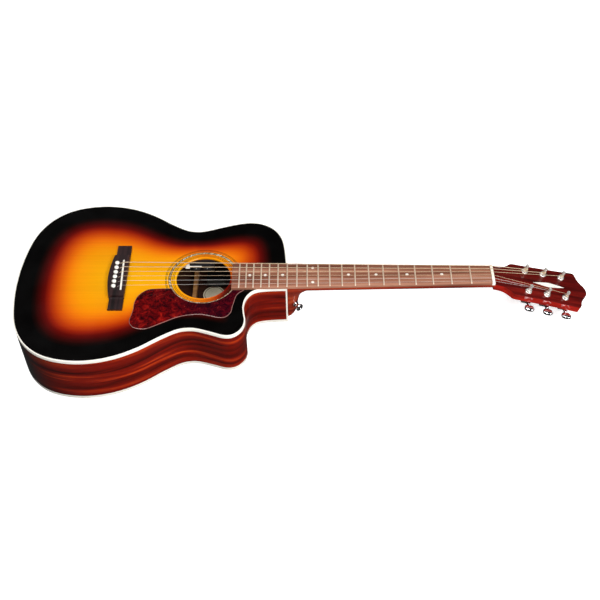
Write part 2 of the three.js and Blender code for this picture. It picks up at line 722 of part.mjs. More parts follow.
function tunerHousing(side, reach) {
  const high = -headThickness - gap;
  const low = high - housingHeight;
  const corners = [[-6.2, -7.5], [-5.2, -8.5], [9.4, -8.5], [10.4, -7.5], [10.4, 7.5], [9.4, 8.5],
    [-5.2, 8.5], [-6.2, 7.5]];
  const shell = prism(corners, low, high);
  const hollow = box([-5, 9.2], [-7.3, 7.3], [low + 1.2, high + 5]);
  const collar = new THREE.CylinderGeometry(2.7, 3.6, reach - housingHalfWidth + 1, 12);
  collar.translate(0, (reach + housingHalfWidth - 1) / 2, 0);
  collar.rotateZ(side > 0 ? 0 : Math.PI).translate(wormOffset, 0, -knobDrop);
  const bore = new THREE.CylinderGeometry(2, 2, 60, 12);
  bore.translate(0, side * 31, 0).translate(wormOffset, 0, -knobDrop);
  return cut(joined(shell, collar), hollow, bore);
}

function tunerKnob(side, inner, outer) {
  const button = new THREE.SphereGeometry(1, 12, 6);
  button.scale(...knobSize).translate(0, side * (inner + outer) / 2, 0);
  const shaft = new THREE.CylinderGeometry(1.6, 1.6, inner + 2 + 6.6, 8);
  shaft.translate(0, side * (inner + 2 - 6.6) / 2, 0);
  return joined(button, shaft);
}

function addTuners() {
  const head = new THREE.Group();
  head.position.set(headStart, 0, headFaceHeight);
  head.rotation.y = headAngle;
  const postProfile = [
    [0, -22.4], [2.2, -22.4], [2.2, -21], [4, -21], [4, -17], [postRadius, -17], [postRadius, 6],
    [2.5, 7], [2.5, 10], [postRadius, 11], [postRadius, postHeight], [0, postHeight],
  ];
  tunerSpots().forEach(([s, side], i) => {
    const number = i + 1;
    const tuner = new THREE.Group();
    tuner.position.set(s, side * postOffset, 0);
    const edge = headEdgeAt(s + wormOffset) - postOffset;
    const inner = edge + knobInnerGap;
    tuner.add(part(`tuner_housing_${number}`, tunerHousing(side, inner - 0.8), 'chromed'));
    const knob = part(`tuner_knob_${number}`, tunerKnob(side, inner, inner + 2 * knobSize[1]), 'chromed');
    knob.position.set(wormOffset, 0, -knobDrop);
    tuner.add(knob);
    tuner.add(part(`tuner_post_${number}`, turned(postProfile, 10), 'chromed'));
    head.add(tuner);
  });
  body.add(head);
}

function addStrapButton() {
  const profile = [
    [0, 0], [5.6, 0], [5.6, 1.5], [3.6, 3], [3.6, 8], [7.2, 11], [7.2, 12.5], [6, 13.2], [0, 13.2],
  ];
  const lean = 50 * Math.PI / 180;
  const geometry = turned(profile, 16).rotateY(Math.PI / 2).rotateZ(-lean);
  const button = part('heel_strap_button', geometry, 'chromed');
  button.position.set(13.9, -16.6, -52);
  body.add(button);
}

addSoundboard();
addBack();
addSides();
addBindings();
addLinings();
addBlocks();
addTopBracing();
addBackBracing();
addPickguard();
addPreamp();
addJack();
addBridge();
addNeck();
addFingerboard();
addStrings();
addTuners();
addStrapButton();

// tip the body onto the flat of its back and centre the whole on the origin
body.rotation.y = backAngle;
const guitar = new THREE.Group();
guitar.add(body);
guitar.updateMatrixWorld(true);
const bounds = new THREE.Box3().setFromObject(guitar, true);
body.position.set(-(bounds.min.x + bounds.max.x) / 2, -(bounds.min.y + bounds.max.y) / 2, -bounds.min.z);

export default guitar;
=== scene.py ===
import json
import math

import bmesh
import bpy
import numpy as np
from mathutils import Matrix, Vector


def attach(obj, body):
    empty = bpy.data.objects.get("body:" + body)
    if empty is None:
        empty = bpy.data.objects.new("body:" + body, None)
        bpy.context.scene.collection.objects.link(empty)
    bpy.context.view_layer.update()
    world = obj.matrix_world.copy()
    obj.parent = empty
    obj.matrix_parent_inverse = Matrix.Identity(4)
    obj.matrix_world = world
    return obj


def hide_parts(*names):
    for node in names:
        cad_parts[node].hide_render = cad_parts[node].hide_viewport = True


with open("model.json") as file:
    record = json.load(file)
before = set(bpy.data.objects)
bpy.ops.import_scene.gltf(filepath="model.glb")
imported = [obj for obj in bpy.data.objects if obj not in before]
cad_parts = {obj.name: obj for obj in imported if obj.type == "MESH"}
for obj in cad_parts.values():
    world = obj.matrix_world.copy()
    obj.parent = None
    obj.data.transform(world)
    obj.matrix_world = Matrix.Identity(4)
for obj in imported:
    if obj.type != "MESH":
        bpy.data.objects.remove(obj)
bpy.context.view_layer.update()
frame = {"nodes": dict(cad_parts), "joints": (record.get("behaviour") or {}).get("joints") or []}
joints = {joint["name"]: joint for joint in frame["joints"]}
print("frame loaded")

# ---- the guitar's own axes, in millimetres: x along the neck from the body's front end,
# ---- y to the bass side, z up from the top plate. The body lies tipped on its tapered back.
upAxis = joints["pin_pull_1"]["axis"]
tilt = math.atan2(upAxis[0], upAxis[2])
tipped = np.array([
    [math.cos(tilt), 0, math.sin(tilt)],
    [0, 1, 0],
    [-math.sin(tilt), 0, math.cos(tilt)],
])


def nodePoints(node):
    mesh = frame["nodes"][node].data
    flat = np.zeros(len(mesh.vertices) * 3)
    mesh.vertices.foreach_get("co", flat)
    return flat.reshape(-1, 3) @ tipped * 1000


bindingPoints = nodePoints("top_binding")
nutPoints = nodePoints("nut")
guitarOrigin = np.array([
    bindingPoints[:, 0].max(),
    (nutPoints[:, 1].min() + nutPoints[:, 1].max()) / 2,
    bindingPoints[:, 2].max(),
])


def span(node):  # lowest and highest corner of a node in guitar millimetres
    points = nodePoints(node) - guitarOrigin
    return points.min(axis=0), points.max(axis=0)


def middle(node):  # centre of a node's box in guitar millimetres
    low, high = span(node)
    return (low + high) / 2


def place(points):  # guitar millimetres to frame metres
    return (np.asarray(points, float) + guitarOrigin) @ tipped.T / 1000


def fromFrame(point):  # frame metres to guitar millimetres
    return np.array(point) * 1000 @ tipped - guitarOrigin


# ---- curves
def smoothCurve(points, count):
    # Catmull-Rom: each stretch is a cubic whose end slopes join the two neighbours
    points = np.array(points, float)
    padded = np.vstack([points[:1], points, points[-1:]])
    along = np.linspace(0, len(points) - 1, count)
    first = np.minimum(along.astype(int), len(points) - 2)
    t = (along - first)[:, None]
    a, b, c, d = (padded[first + k] for k in range(4))
    square, cube = a - 2.5 * b + 2 * c - d / 2, b * 1.5 - a / 2 - c * 1.5 + d / 2
    return b + t * (c - a) / 2 + t ** 2 * square + t ** 3 * cube


def travelled(points):  # distance along a polyline at each of its points
    return np.concatenate([[0], np.cumsum(np.linalg.norm(np.diff(points, axis=0), axis=1))])


def evenly(points, count):  # the same curve with points at equal distances
    reached = travelled(points)
    wanted = np.linspace(0, reached[-1], count)
    return np.column_stack([np.interp(wanted, reached, points[:, k]) for k in range(points.shape[1])])


def inset(outline, distance):
    # every point of a counter-clockwise outline moved inwards, less at very sharp corners
    before = outline - np.roll(outline, 1, axis=0)
    after = np.roll(outline, -1, axis=0) - outline
    before = before / np.linalg.norm(before, axis=1)[:, None]
    after = after / np.linalg.norm(after, axis=1)[:, None]
    inward = np.column_stack([-(before + after)[:, 1], (before + after)[:, 0]])
    shared = 1 + (before * after).sum(axis=1)
    return outline + inward * distance / np.maximum(shared, 0.4)[:, None]


def circle(count):
    angle = np.linspace(0, 2 * np.pi, count, endpoint=False)
    return np.column_stack([np.cos(angle), np.sin(angle)])


def bends(corners, back, ahead, radius, share, count):
    # each corner becomes a quadratic bend that starts and ends radius away from it, or at the
    # given share of a side that is too short
    start, end = (corners + side * np.minimum(radius / np.linalg.norm(side, axis=1)[:, None], share)
                  for side in (back, ahead))
    t = np.linspace(0, 1, count)[None, :, None]
    bend = (1 - t) ** 2 * start[:, None] + 2 * t * (1 - t) * corners[:, None] + t ** 2 * end[:, None]
    return bend.reshape(-1, corners.shape[1])


def rounded(corners, radius, count=5):  # a closed outline with bent corners
    corners = np.array(corners, float)
    return bends(corners, np.roll(corners, 1, axis=0) - corners, np.roll(corners, -1, axis=0) - corners,
                 radius, 0.5, count)


def filleted(points, radius, count=5):  # a polyline with bent corners
    points = np.array(points, float)
    corners = points[1:-1]
    bent = bends(corners, points[:-2] - corners, points[2:] - corners, radius, 0.45, count)
    return np.vstack([points[:1], bent, points[-1:]])


def rectangle(x0, y0, x1, y1):
    return [(x0, y0), (x1, y0), (x1, y1), (x0, y1)]


# ---- surfaces: a shell is a grid of closed rings of points, its quads, and flat end faces if asked
def shell(grid, wrapRows=False, ends=False):
    rows, columns = grid.shape[:2]
    points = grid.reshape(-1, 3)
    index = np.arange(rows * columns).reshape(rows, columns)
    if wrapRows:
        index = np.vstack([index, index[:1]])
    index = np.hstack([index, index[:, :1]])
    corners = [index[:-1, :-1], index[:-1, 1:], index[1:, 1:], index[1:, :-1]]
    quads = np.stack(corners, axis=-1).reshape(-1, 4)
    flats = [np.arange(columns)[::-1], np.arange(columns) + (rows - 1) * columns] if ends else []
    fans = [np.column_stack([np.full(len(f) - 2, f[0]), f[1:-1], f[2:]]) for f in flats]
    triangles = np.vstack([quads[:, [0, 1, 2]], quads[:, [0, 2, 3]], *fans])
    a, b, c = (points[triangles[:, k]] for k in range(3))
    if (a * np.cross(b, c)).sum() < 0:
        quads = quads[:, ::-1]
        flats = [flat[::-1] for flat in flats]
    return {"points": points, "faces": quads.tolist() + [flat.tolist() for flat in flats]}


def slab(outline, rings):  # rings of (inset, height) stacked from one flat face to the other
    levels = [np.column_stack([inset(outline, d), np.full(len(outline), h)]) for d, h in rings]
    return np.stack(levels)


def bevelled(low, high, bevel):  # rings of a slab whose two faces have rounded edges
    turn = np.radians([90, 60, 30, 0])
    lower = [(bevel * (1 - math.cos(a)), low + bevel * (1 - math.sin(a))) for a in turn]
    upper = [(d, low + high - h) for d, h in lower[::-1]]
    return lower + upper


def turned(profile, count):  # (radius, height) profile carried round the z axis
    profile = np.array(profile, float)
    ring = circle(count)
    across = profile[:, :1, None] * ring[None]
    heights = np.repeat(profile[:, 1][:, None, None], count, axis=1)
    return np.concatenate([across, heights], axis=2)


def moved(grid, origin, axes):  # local x, y, z steps taken along three given directions
    return np.asarray(origin, float) + grid @ np.array(axes, float)


def lathe(profile, count, origin=(0, 0, 0), axes=((1, 0, 0), (0, 1, 0), (0, 0, 1))):
    return shell(moved(turned(profile, count), origin, axes))


def gridOf(x, y, z):  # three arrays that broadcast to one grid of points
    return np.stack(np.broadcast_arrays(x, y, z), axis=2)


def crossed(y, section):  # a row of points along y for each (x, z) of a section
    return np.stack([np.column_stack([y * 0 + x, y, y * 0 + z]) for x, z in section], axis=1)


def tube(path, radius, sides, steady):
    # a round section carried along the path; steady is a direction that the path never takes
    path = np.array(path, float)
    along = np.gradient(path, axis=0)
    along /= np.linalg.norm(along, axis=1)[:, None]
    across = np.array(steady, float) - (along @ np.array(steady, float))[:, None] * along
    across /= np.linalg.norm(across, axis=1)[:, None]
    up = np.cross(across, along)
    ring = circle(sides)
    radius = np.broadcast_to(radius, len(path))[:, None, None]
    offset = ring[None, :, :1] * across[:, None] + ring[None, :, 1:] * up[:, None]
    return path[:, None] + radius * offset


def addObject(name, data):
    made = bpy.data.objects.new(name, data)
    bpy.context.scene.collection.objects.link(made)
    return made


def shadeSharp(mesh, angle):
    mesh.shade_smooth()
    mesh.set_sharp_from_angle(angle=math.radians(angle))


def makePiece(name, shells, finish, slot, body="root", replaces=(), grain=None, values=None,
              sharp=35, inner=None, innerSide=None):
    points = np.vstack([part["points"] for part in shells])
    starts = np.cumsum([0] + [len(part["points"]) for part in shells])
    faces = [[corner + start for corner in face]
             for part, start in zip(shells, starts) for face in part["faces"]]
    mesh = bpy.data.meshes.new(name)
    mesh.from_pydata(place(points).tolist(), [], faces)
    grain = points / 1000 if grain is None else grain
    mesh.attributes.new("grain", "FLOAT_VECTOR", "POINT").data.foreach_set("vector", np.ravel(grain))
    for key, numbers in (values or {}).items():
        mesh.attributes.new(key, "FLOAT", "POINT").data.foreach_set("value", np.ravel(numbers))
    clean = bmesh.new()
    clean.from_mesh(mesh)
    bmesh.ops.remove_doubles(clean, verts=clean.verts, dist=1e-6)
    clean.to_mesh(mesh)
    clean.free()
    shadeSharp(mesh, sharp)
    mesh.materials.append(finish)
    if inner:
        mesh.materials.append(inner)
        normals, centres = np.zeros((2, len(mesh.polygons) * 3))
        mesh.polygons.foreach_get("normal", normals)
        mesh.polygons.foreach_get("center", centres)
        normals = normals.reshape(-1, 3) @ tipped
        centres = centres.reshape(-1, 3) @ tipped * 1000 - guitarOrigin
        mesh.polygons.foreach_set("material_index", innerSide(centres, normals).astype(int))
    piece = addObject(name, mesh)
    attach(piece, body)
    if replaces:
        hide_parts(*replaces)
    return piece


# ---- shader building
def colour(red, green, blue):  # screen values 0 to 255 to the linear colour that shaders use
    screen = np.array([red, green, blue]) / 255
    linear = np.where(screen <= 0.04045, screen / 12.92, ((screen + 0.055) / 1.055) ** 2.4)
    return (*linear.tolist(), 1.0)


def addNode(tree, kind, inputs=None, **settings):
    made = tree.nodes.new("ShaderNode" + kind)
    for key, value in settings.items():
        setattr(made, key, value)
    for key, value in (inputs or {}).items():
        if isinstance(value, bpy.types.NodeSocket):
            tree.links.new(value, made.inputs[key])
        else:
            made.inputs[key].default_value = value
    return made


def maths(tree, operation, *inputs, clamp=False):
    values = dict(enumerate(inputs))
    return addNode(tree, "Math", values, operation=operation, use_clamp=clamp).outputs[0]


def mixColour(tree, factor, first, second, blend="MIX"):
    values = {0: factor, 6: first, 7: second}
    return addNode(tree, "Mix", values, data_type="RGBA", blend_type=blend, clamp_factor=True).outputs[2]


def addRamp(tree, factor, stops):  # stops are (spot, screen values or a linear colour)
    ramp = addNode(tree, "ValToRGB", {"Fac": factor})
    elements = ramp.color_ramp.elements
    while len(elements) < len(stops):
        elements.new(0.5)
    for element, (spot, value) in zip(elements, stops):
        element.position = spot
        element.color = value if len(value) == 4 else colour(*value)
    return ramp.outputs["Color"]


def grey(value):
    return (value, value, value, 1.0)


def stretched(tree, vector, factors):
    return addNode(tree, "VectorMath", {0: vector, 1: factors}, operation="MULTIPLY").outputs[0]


def makeGroup(name, inputs, outputs):
    group = bpy.data.node_groups.new(name, "ShaderNodeTree")
    for label, kind, value in inputs:
        socket = group.interface.new_socket(label, in_out="INPUT", socket_type="NodeSocket" + kind)
        socket.default_value = value
    for label, kind in outputs:
        group.interface.new_socket(label, in_out="OUTPUT", socket_type="NodeSocket" + kind)
    start = group.nodes.new("NodeGroupInput")
    end = group.nodes.new("NodeGroupOutput")
    return group, start, end


def noise(tree, vector, scale, detail, roughness=0.5, distortion=0.0):
    values = {"Vector": vector, "Scale": scale, "Detail": detail, "Roughness": roughness,
              "Distortion": distortion}
    return addNode(tree, "TexNoise", values).outputs["Fac"]


def remap(tree, value, fromLow, fromHigh, toLow=0.0, toHigh=1.0):
    values = {"Value": value, "From Min": fromLow, "From Max": fromHigh,
              "To Min": toLow, "To Max": toHigh}
    return addNode(tree, "MapRange", values).outputs["Result"]


def objectSpace(tree):
    return addNode(tree, "TexCoord").outputs["Object"]


def attribute(tree, name, output="Fac"):
    return addNode(tree, "Attribute", attribute_name=name).outputs[output]


def makeWoodFigure():
    # three masks of one board: fine lines along the grain, broad drifting streaks, short dark pores
    group, start, end = makeGroup(
        "woodFigure",
        [("Vector", "Vector", (0, 0, 0)), ("Fineness", "Vector", (20, 500, 500)),
         ("Breadth", "Vector", (3, 40, 40)), ("Wander", "Float", 0.6)],
        [("Lines", "Float"), ("Streaks", "Float"), ("Pores", "Float")],
    )
    vector = start.outputs["Vector"]
    fine = stretched(group, vector, start.outputs["Fineness"])
    broad = stretched(group, vector, start.outputs["Breadth"])
    pores = noise(group, stretched(group, fine, (2.2, 2.6, 2.6)), 1.0, 2.0)
    masks = {
        "Lines": noise(group, fine, 1.0, 3.0, 0.55),
        "Streaks": noise(group, broad, 1.0, 5.0, 0.6, start.outputs["Wander"]),
        "Pores": remap(group, pores, 0.60, 0.72),
    }
    for label, mask in masks.items():
        group.links.new(mask, end.inputs[label])
    return group


def makeHandling():
    # faint smudges from hands and cloths: a roughness that drifts between two values
    group, start, end = makeGroup(
        "handling",
        [("Vector", "Vector", (0, 0, 0)), ("Scale", "Float", 25.0), ("Low", "Float", 0.1),
         ("High", "Float", 0.2)],
        [("Roughness", "Float")],
    )
    clouds = noise(group, start.outputs["Vector"], start.outputs["Scale"], 4.0, 0.6)
    rough = remap(group, clouds, 0.35, 0.7, start.outputs["Low"], start.outputs["High"])
    group.links.new(rough, end.inputs["Roughness"])
    return group


woodFigure = makeWoodFigure()
handling = makeHandling()


def newFinish(name, shader):
    material = bpy.data.materials.new(name)
    material.use_nodes = True
    tree = material.node_tree
    principled = tree.nodes["Principled BSDF"]
    for key, value in shader.items():
        principled.inputs[key].default_value = value
    return material, tree, principled


def addBump(tree, principled, height, distance, strength=1.0):
    bump = addNode(tree, "Bump", {"Height": height, "Distance": distance, "Strength": strength})
    tree.links.new(bump.outputs["Normal"], principled.inputs["Normal"])


def dress(tree, principled, base, scale, low, high):
    # the base colour, and handling marks that move the roughness between low and high
    tree.links.new(base, principled.inputs["Base Color"])
    values = {"Vector": objectSpace(tree), "Scale": scale, "Low": low, "High": high}
    marks = addNode(tree, "Group", values, node_tree=handling)
    tree.links.new(marks.outputs["Roughness"], principled.inputs["Roughness"])


gloss = {"Coat Weight": 0.8, "Coat Roughness": 0.03, "Coat IOR": 1.45, "Specular IOR Level": 0.1}
sideGloss = {**gloss, "Coat Weight": 0.4}

burst = {
    "stops": [  # colour by distance from the rim, 1 being the reach below
        (0.19, (1, 0, 0)), (0.231, (22, 1, 0)), (0.281, (57, 2, 1)), (0.331, (90, 4, 1)),
        (0.375, (138, 25, 2)), (0.425, (178, 54, 2)), (0.481, (209, 84, 2)),
        (0.5375, (229, 112, 2)), (0.5875, (237, 132, 2)), (0.644, (240, 147, 2)),
        (0.7375, (241, 158, 3)), (0.8625, (243, 172, 4)), (0.9875, (244, 180, 6)),
    ],
    "reach": 160.0,
    # share of that reach at places along the body: narrow at the waist and the front
    "shareAt": ([-479, -320, -240, -170, -120, -70, -20, 0],
                [1.0, 1.0, 0.88, 0.69, 0.76, 0.88, 0.84, 0.82]),
    "fineness": (4, 620, 300),
    "breadth": (3, 26, 20),
}


def woodMasks(tree, vector, fineness, breadth, wander=0.6):
    values = {"Vector": vector, "Fineness": fineness, "Breadth": breadth, "Wander": wander}
    return addNode(tree, "Group", values, node_tree=woodFigure).outputs


def makeBurstLacquer():
    material, tree, principled = newFinish("burstLacquer", gloss)
    base = addRamp(tree, attribute(tree, "burst"), burst["stops"])
    wood = woodMasks(tree, attribute(tree, "grain", "Vector"), burst["fineness"], burst["breadth"])
    lines = addRamp(tree, wood["Lines"], [(0.35, grey(0.93)), (0.62, grey(1.0))])
    broad = addRamp(tree, wood["Streaks"], [(0.3, grey(0.92)), (0.7, grey(1.0))])
    shaded = mixColour(tree, 1.0, mixColour(tree, 1.0, base, lines, "MULTIPLY"), broad, "MULTIPLY")
    dress(tree, principled, shaded, 18.0, 0.30, 0.42)
    return material


def makeWood(name, dark, middle, light, shader, fineness, breadth, wander=0.6, poreDepth=0.5,
             rough=(0.3, 0.42), bump=0.0, own=True, shade=None):
    # broad streaks pick a colour between dark and light, fine lines and pores darken it;
    # shade names an attribute that blends the colour towards near black as painted shade, fully where it
    # is 1
    material, tree, principled = newFinish(name, shader)
    space = attribute(tree, "grain", "Vector") if own else objectSpace(tree)
    wood = woodMasks(tree, space, fineness, breadth, wander)
    base = addRamp(tree, wood["Streaks"], [(0.33, dark), (0.5, middle), (0.66, light)])
    lines = addRamp(tree, wood["Lines"], [(0.3, grey(0.72)), (0.65, grey(1.0))])
    shaded = mixColour(tree, 1.0, base, lines, "MULTIPLY")
    shaded = mixColour(tree, maths(tree, "MULTIPLY", wood["Pores"], poreDepth), shaded, colour(*dark))
    if shade:
        # painted shade: near black mixed in by the shade attribute
        shaded = mixColour(tree, attribute(tree, shade), shaded, colour(16, 3, 2))
    dress(tree, principled, shaded, 20.0, *rough)
    if bump:
        addBump(tree, principled, wood["Lines"], bump)
    return material


def makePlain(name, base, other, shader, scale, rough, bump=0.0, bumpScale=900.0):
    # one tone that drifts to a second in soft clouds, with handling marks in the gloss
    material, tree, principled = newFinish(name, shader)
    clouds = noise(tree, objectSpace(tree), scale, 3.0)
    dress(tree, principled, addRamp(tree, clouds, [(0.3, base), (0.75, other)]), scale * 1.7, *rough)
    if bump:
        addBump(tree, principled, noise(tree, objectSpace(tree), bumpScale, 2.0), bump)
    return material


def makeTortoise():
    # layered clouds of burgundy and bright red with small pale flecks, deeper towards the neck, and a
    # painted highlight along the bevelled edge
    material, tree, principled = newFinish("tortoiseSheet", gloss)
    space = objectSpace(tree)
    clouds = noise(tree, space, 84.0, 6.0, 0.72, 0.8)
    body = addRamp(tree, clouds, [(0.38, (40, 3, 6)), (0.48, (78, 5, 8)), (0.58, (118, 10, 10)),
                                  (0.72, (178, 36, 20))])
    deep = addRamp(tree, clouds, [(0.4, (30, 2, 12)), (0.7, (70, 4, 18))])
    fade = remap(tree, addNode(tree, "SeparateXYZ", {0: space}).outputs["X"], -0.235, -0.165)
    wander = maths(tree, "ADD", fade, maths(tree, "SUBTRACT", noise(tree, space, 9.0, 2.0), 0.5))
    base = mixColour(tree, maths(tree, "MULTIPLY", wander, 0.9, clamp=True), body, deep)
    flecks = addNode(tree, "TexVoronoi", {"Vector": space, "Scale": 330.0}).outputs["Distance"]
    fleckMask = maths(tree, "MULTIPLY", remap(tree, flecks, 0.24, 0.12), remap(tree, clouds, 0.54, 0.66),
                      clamp=True)
    speckled = mixColour(tree, maths(tree, "MULTIPLY", fleckMask, 0.7), base, colour(214, 96, 66))
    # painted highlight: a pale glint mixed in along the bevel where the rim value is set
    rim = maths(tree, "MULTIPLY", attribute(tree, "rim"), 0.4)
    dress(tree, principled, mixColour(tree, rim, speckled, colour(196, 150, 140)), 30.0, 0.16, 0.26)
    return material


def makeWound(name, base, paintedGrooveShade, pitch):
    # fine turns of winding wire, one groove every pitch of length, with painted shade darkening the
    # grooves between turns
    material, tree, principled = newFinish(name, {"Metallic": 0.5})
    along = addNode(tree, "SeparateXYZ", {0: attribute(tree, "grain", "Vector")}).outputs["X"]
    turns = maths(tree, "SINE", maths(tree, "MULTIPLY", along, 2 * math.pi / pitch))
    mask = maths(tree, "MULTIPLY_ADD", turns, 0.5, 0.5)
    # painted shade: the grooves take the darker colour
    dress(tree, principled, mixColour(tree, mask, colour(*paintedGrooveShade), colour(*base)), 60.0, 0.34, 0.46)
    addBump(tree, principled, mask, 0.0001)
    return material


def makeMosaic():
    # short slanted tiles of pearl, grey and straw round the ring; grain holds turn, radius
    material, tree, principled = newFinish("rosetteMosaic", gloss)
    split = addNode(tree, "SeparateXYZ", {0: attribute(tree, "grain", "Vector")}).outputs
    slanted = maths(tree, "ADD", split["X"], maths(tree, "MULTIPLY", split["Y"], 0.9))
    tile = maths(tree, "FLOOR", maths(tree, "MULTIPLY", slanted, 620.0))
    pick = addNode(tree, "TexWhiteNoise", {"W": tile}, noise_dimensions="1D").outputs["Value"]
    base = addRamp(tree, pick, [(0.0, (186, 164, 118)), (0.2, (122, 98, 60)), (0.45, (154, 132, 92)),
                                (0.6, (98, 74, 44)), (0.8, (196, 182, 148)), (0.95, (230, 222, 202))])
    dress(tree, principled, base, 40.0, 0.2, 0.3)
    return material


def makeLabelPaper():
    # cream paper with one brown ring printed near its edge; grain holds the radius
    material, tree, principled = newFinish("labelPaper", {"Roughness": 0.8})
    radius = addNode(tree, "SeparateXYZ", {0: attribute(tree, "grain", "Vector")}).outputs["Y"]
    ring = addRamp(tree, maths(tree, "MULTIPLY", radius, 40.0), [
        (0.0, grey(0)), (0.660, grey(0)), (0.675, grey(1)), (0.700, grey(1)), (0.715, grey(0)),
    ])
    fibres = noise(tree, objectSpace(tree), 500.0, 4.0)
    paper = addRamp(tree, fibres, [(0.3, (236, 224, 190)), (0.7, (252, 244, 216))])
    tree.links.new(mixColour(tree, ring, paper, colour(96, 70, 44)), principled.inputs["Base Color"])
    addBump(tree, principled, fibres, 0.00005)
    return material


burstLacquer = makeBurstLacquer()
# the side finish blends in the tail's painted shade
sideLacquer = makeWood("sideMahogany", (34, 1, 0), (122, 16, 2), (208, 66, 12), sideGloss,
                       (12, 420, 700), (2.4, 22, 46), wander=0.45, shade="paintedTailShade")
backLacquer = makeWood("backMahogany", (74, 12, 5), (132, 34, 12), (172, 62, 24), gloss,
                       (12, 500, 500), (2.6, 24, 24), wander=0.45)
neckLacquer = makeWood("neckMahogany", (92, 18, 8), (156, 46, 20), (196, 84, 40), gloss,
                       (16, 620, 620), (4, 40, 50), wander=0.7)
headSideLacquer = makeWood("headMahogany", (110, 8, 3), (168, 22, 6), (196, 42, 14), gloss,
                           (16, 620, 620), (6, 50, 70))
headVeneer = makeWood("headVeneer", (44, 6, 6), (92, 14, 12), (128, 26, 18), gloss,
                      (14, 640, 400), (4, 80, 60))
fretboardWood = makeWood("fretboardRosewood", (84, 46, 35), (144, 90, 69), (186, 133, 107),
                         {"Specular IOR Level": 0.2}, (10, 700, 500), (3, 130, 90),
                         wander=0.4, poreDepth=0.7, rough=(0.5, 0.66), bump=0.00006)
bridgeWood = makeWood("bridgeRosewood", (22, 11, 12), (46, 27, 28), (66, 41, 40),
                      {"Specular IOR Level": 0.35}, (700, 12, 500), (110, 4, 80),
                      wander=0.4, poreDepth=0.7, rough=(0.4, 0.55), bump=0.00006)
unlacquered = {"rough": (0.6, 0.75), "bump": 0.00008}
# the inside of the sides and back: bare mahogany darkened to near brown-black as painted shade for the
# dim inside of the box
bareMahoganyInPaintedShade = makeWood("bareMahoganyInPaintedShade", (44, 22, 12), (66, 34, 18), (88, 48, 26),
                        {}, (14, 600, 600), (4, 40, 40), **unlacquered)
bareSpruce = makeWood("bareSpruce", (110, 70, 38), (150, 104, 60), (176, 130, 82),
                      {}, (6, 620, 300), (3, 40, 40), **unlacquered)
braceSpruce = makeWood("braceSpruce", (150, 96, 50), (192, 134, 76), (214, 160, 100),
                       {}, (60, 420, 420), (20, 50, 50), **unlacquered, own=False)
ivoryPlastic = makePlain("ivoryPlastic", (238, 234, 222), (248, 245, 236),
                         {"Coat Weight": 0.6, "Coat Roughness": 0.05}, 30.0, (0.28, 0.4))
boneWhite = makePlain("boneWhite", (236, 230, 214), (250, 247, 238), {}, 60.0, (0.25, 0.38),
                      0.00003, 500.0)
tortoiseSheet = makeTortoise()
chromePlate = makePlain("chromePlate", (224, 224, 226), (240, 240, 242), {"Metallic": 1.0}, 40.0,
                        (0.07, 0.14))
postNickel = makePlain("postNickel", (244, 240, 232), (252, 249, 243), {"Metallic": 0.72}, 60.0,
                       (0.16, 0.26))
nickelFret = makePlain("nickelFret", (226, 206, 182), (240, 224, 204), {"Metallic": 0.4}, 80.0,
                       (0.34, 0.46))
plainSteel = makePlain("plainSteel", (222, 218, 210), (240, 238, 234), {"Metallic": 0.5}, 60.0,
                       (0.3, 0.42))
bronzeWound = makeWound("bronzeWound", (246, 226, 196), (176, 142, 100), 0.00042)
blackPlastic = makePlain("blackPlastic", (14, 14, 16), (26, 26, 29), {}, 60.0, (0.32, 0.5),
                         0.00004, 2400.0)
pearlDot = makePlain("pearlDot", (226, 222, 208), (250, 248, 242), {"Coat Weight": 0.5}, 420.0,
                     (0.2, 0.3))
darkLine = makePlain("darkLine", (40, 22, 6), (66, 40, 14), gloss, 200.0, (0.2, 0.3))
rosetteMosaic = makeMosaic()
labelPaper = makeLabelPaper()
batteryFoil = makePlain("batteryFoil", (22, 23, 26), (34, 35, 40), {"Metallic": 0.4}, 50.0, (0.3, 0.42))
brassBraid = makePlain("brassBraid", (190, 150, 80), (214, 178, 104), {"Metallic": 1.0}, 300.0,
                       (0.3, 0.5), 0.00006, 3000.0)
print("finishes made")

# ---- camera, light and floor
camera = {
    "spot": (40.48, -1184.27, 1293.98),  # guitar millimetres
    "aim": (25.23, -1.60, 0.0),
    "roll": -0.834,  # degrees
    "lens": 59.5,
    "shift": (-0.0025, -0.0367),
}


def makeCamera():
    spot, aim = (Vector(place(camera[key])) for key in ("spot", "aim"))
    up = Vector(place((0, 0, 1)) - place((0, 0, 0))).normalized()
    forward = (aim - spot).normalized()
    right = forward.cross(up).normalized()
    above = right.cross(forward)
    turn = math.radians(camera["roll"])
    across = right * math.cos(turn) + above * math.sin(turn)
    upright = above * math.cos(turn) - right * math.sin(turn)
    data = bpy.data.cameras.new("camera")
    data.lens = camera["lens"]
    data.shift_x, data.shift_y = camera["shift"]
    data.clip_start, data.clip_end = 0.05, 60
    made = addObject("camera", data)
    axes = Matrix((across, upright, -forward)).transposed()
    made.matrix_world = Matrix.Translation(spot) @ axes.to_4x4()
    bpy.context.scene.camera = made


lamps = {
    "key": {"spot": (1.3, -1.8, 1.9), "size": (1.3, 1.0), "power": 56},
    "front": {"spot": (2.2, -1.6, 0.6), "size": (1.0, 0.5), "power": 30},
    "overhead": {"spot": (-0.4, -0.4, 2.6), "size": (2.8, 0.9), "power": 50},
    "behind": {"spot": (-0.8, 2.6, 1.0), "size": (1.6, 0.3), "power": 5},
}
world = {"diffuse": 0.18, "glossy": 0.01}  # the camera itself sees plain white


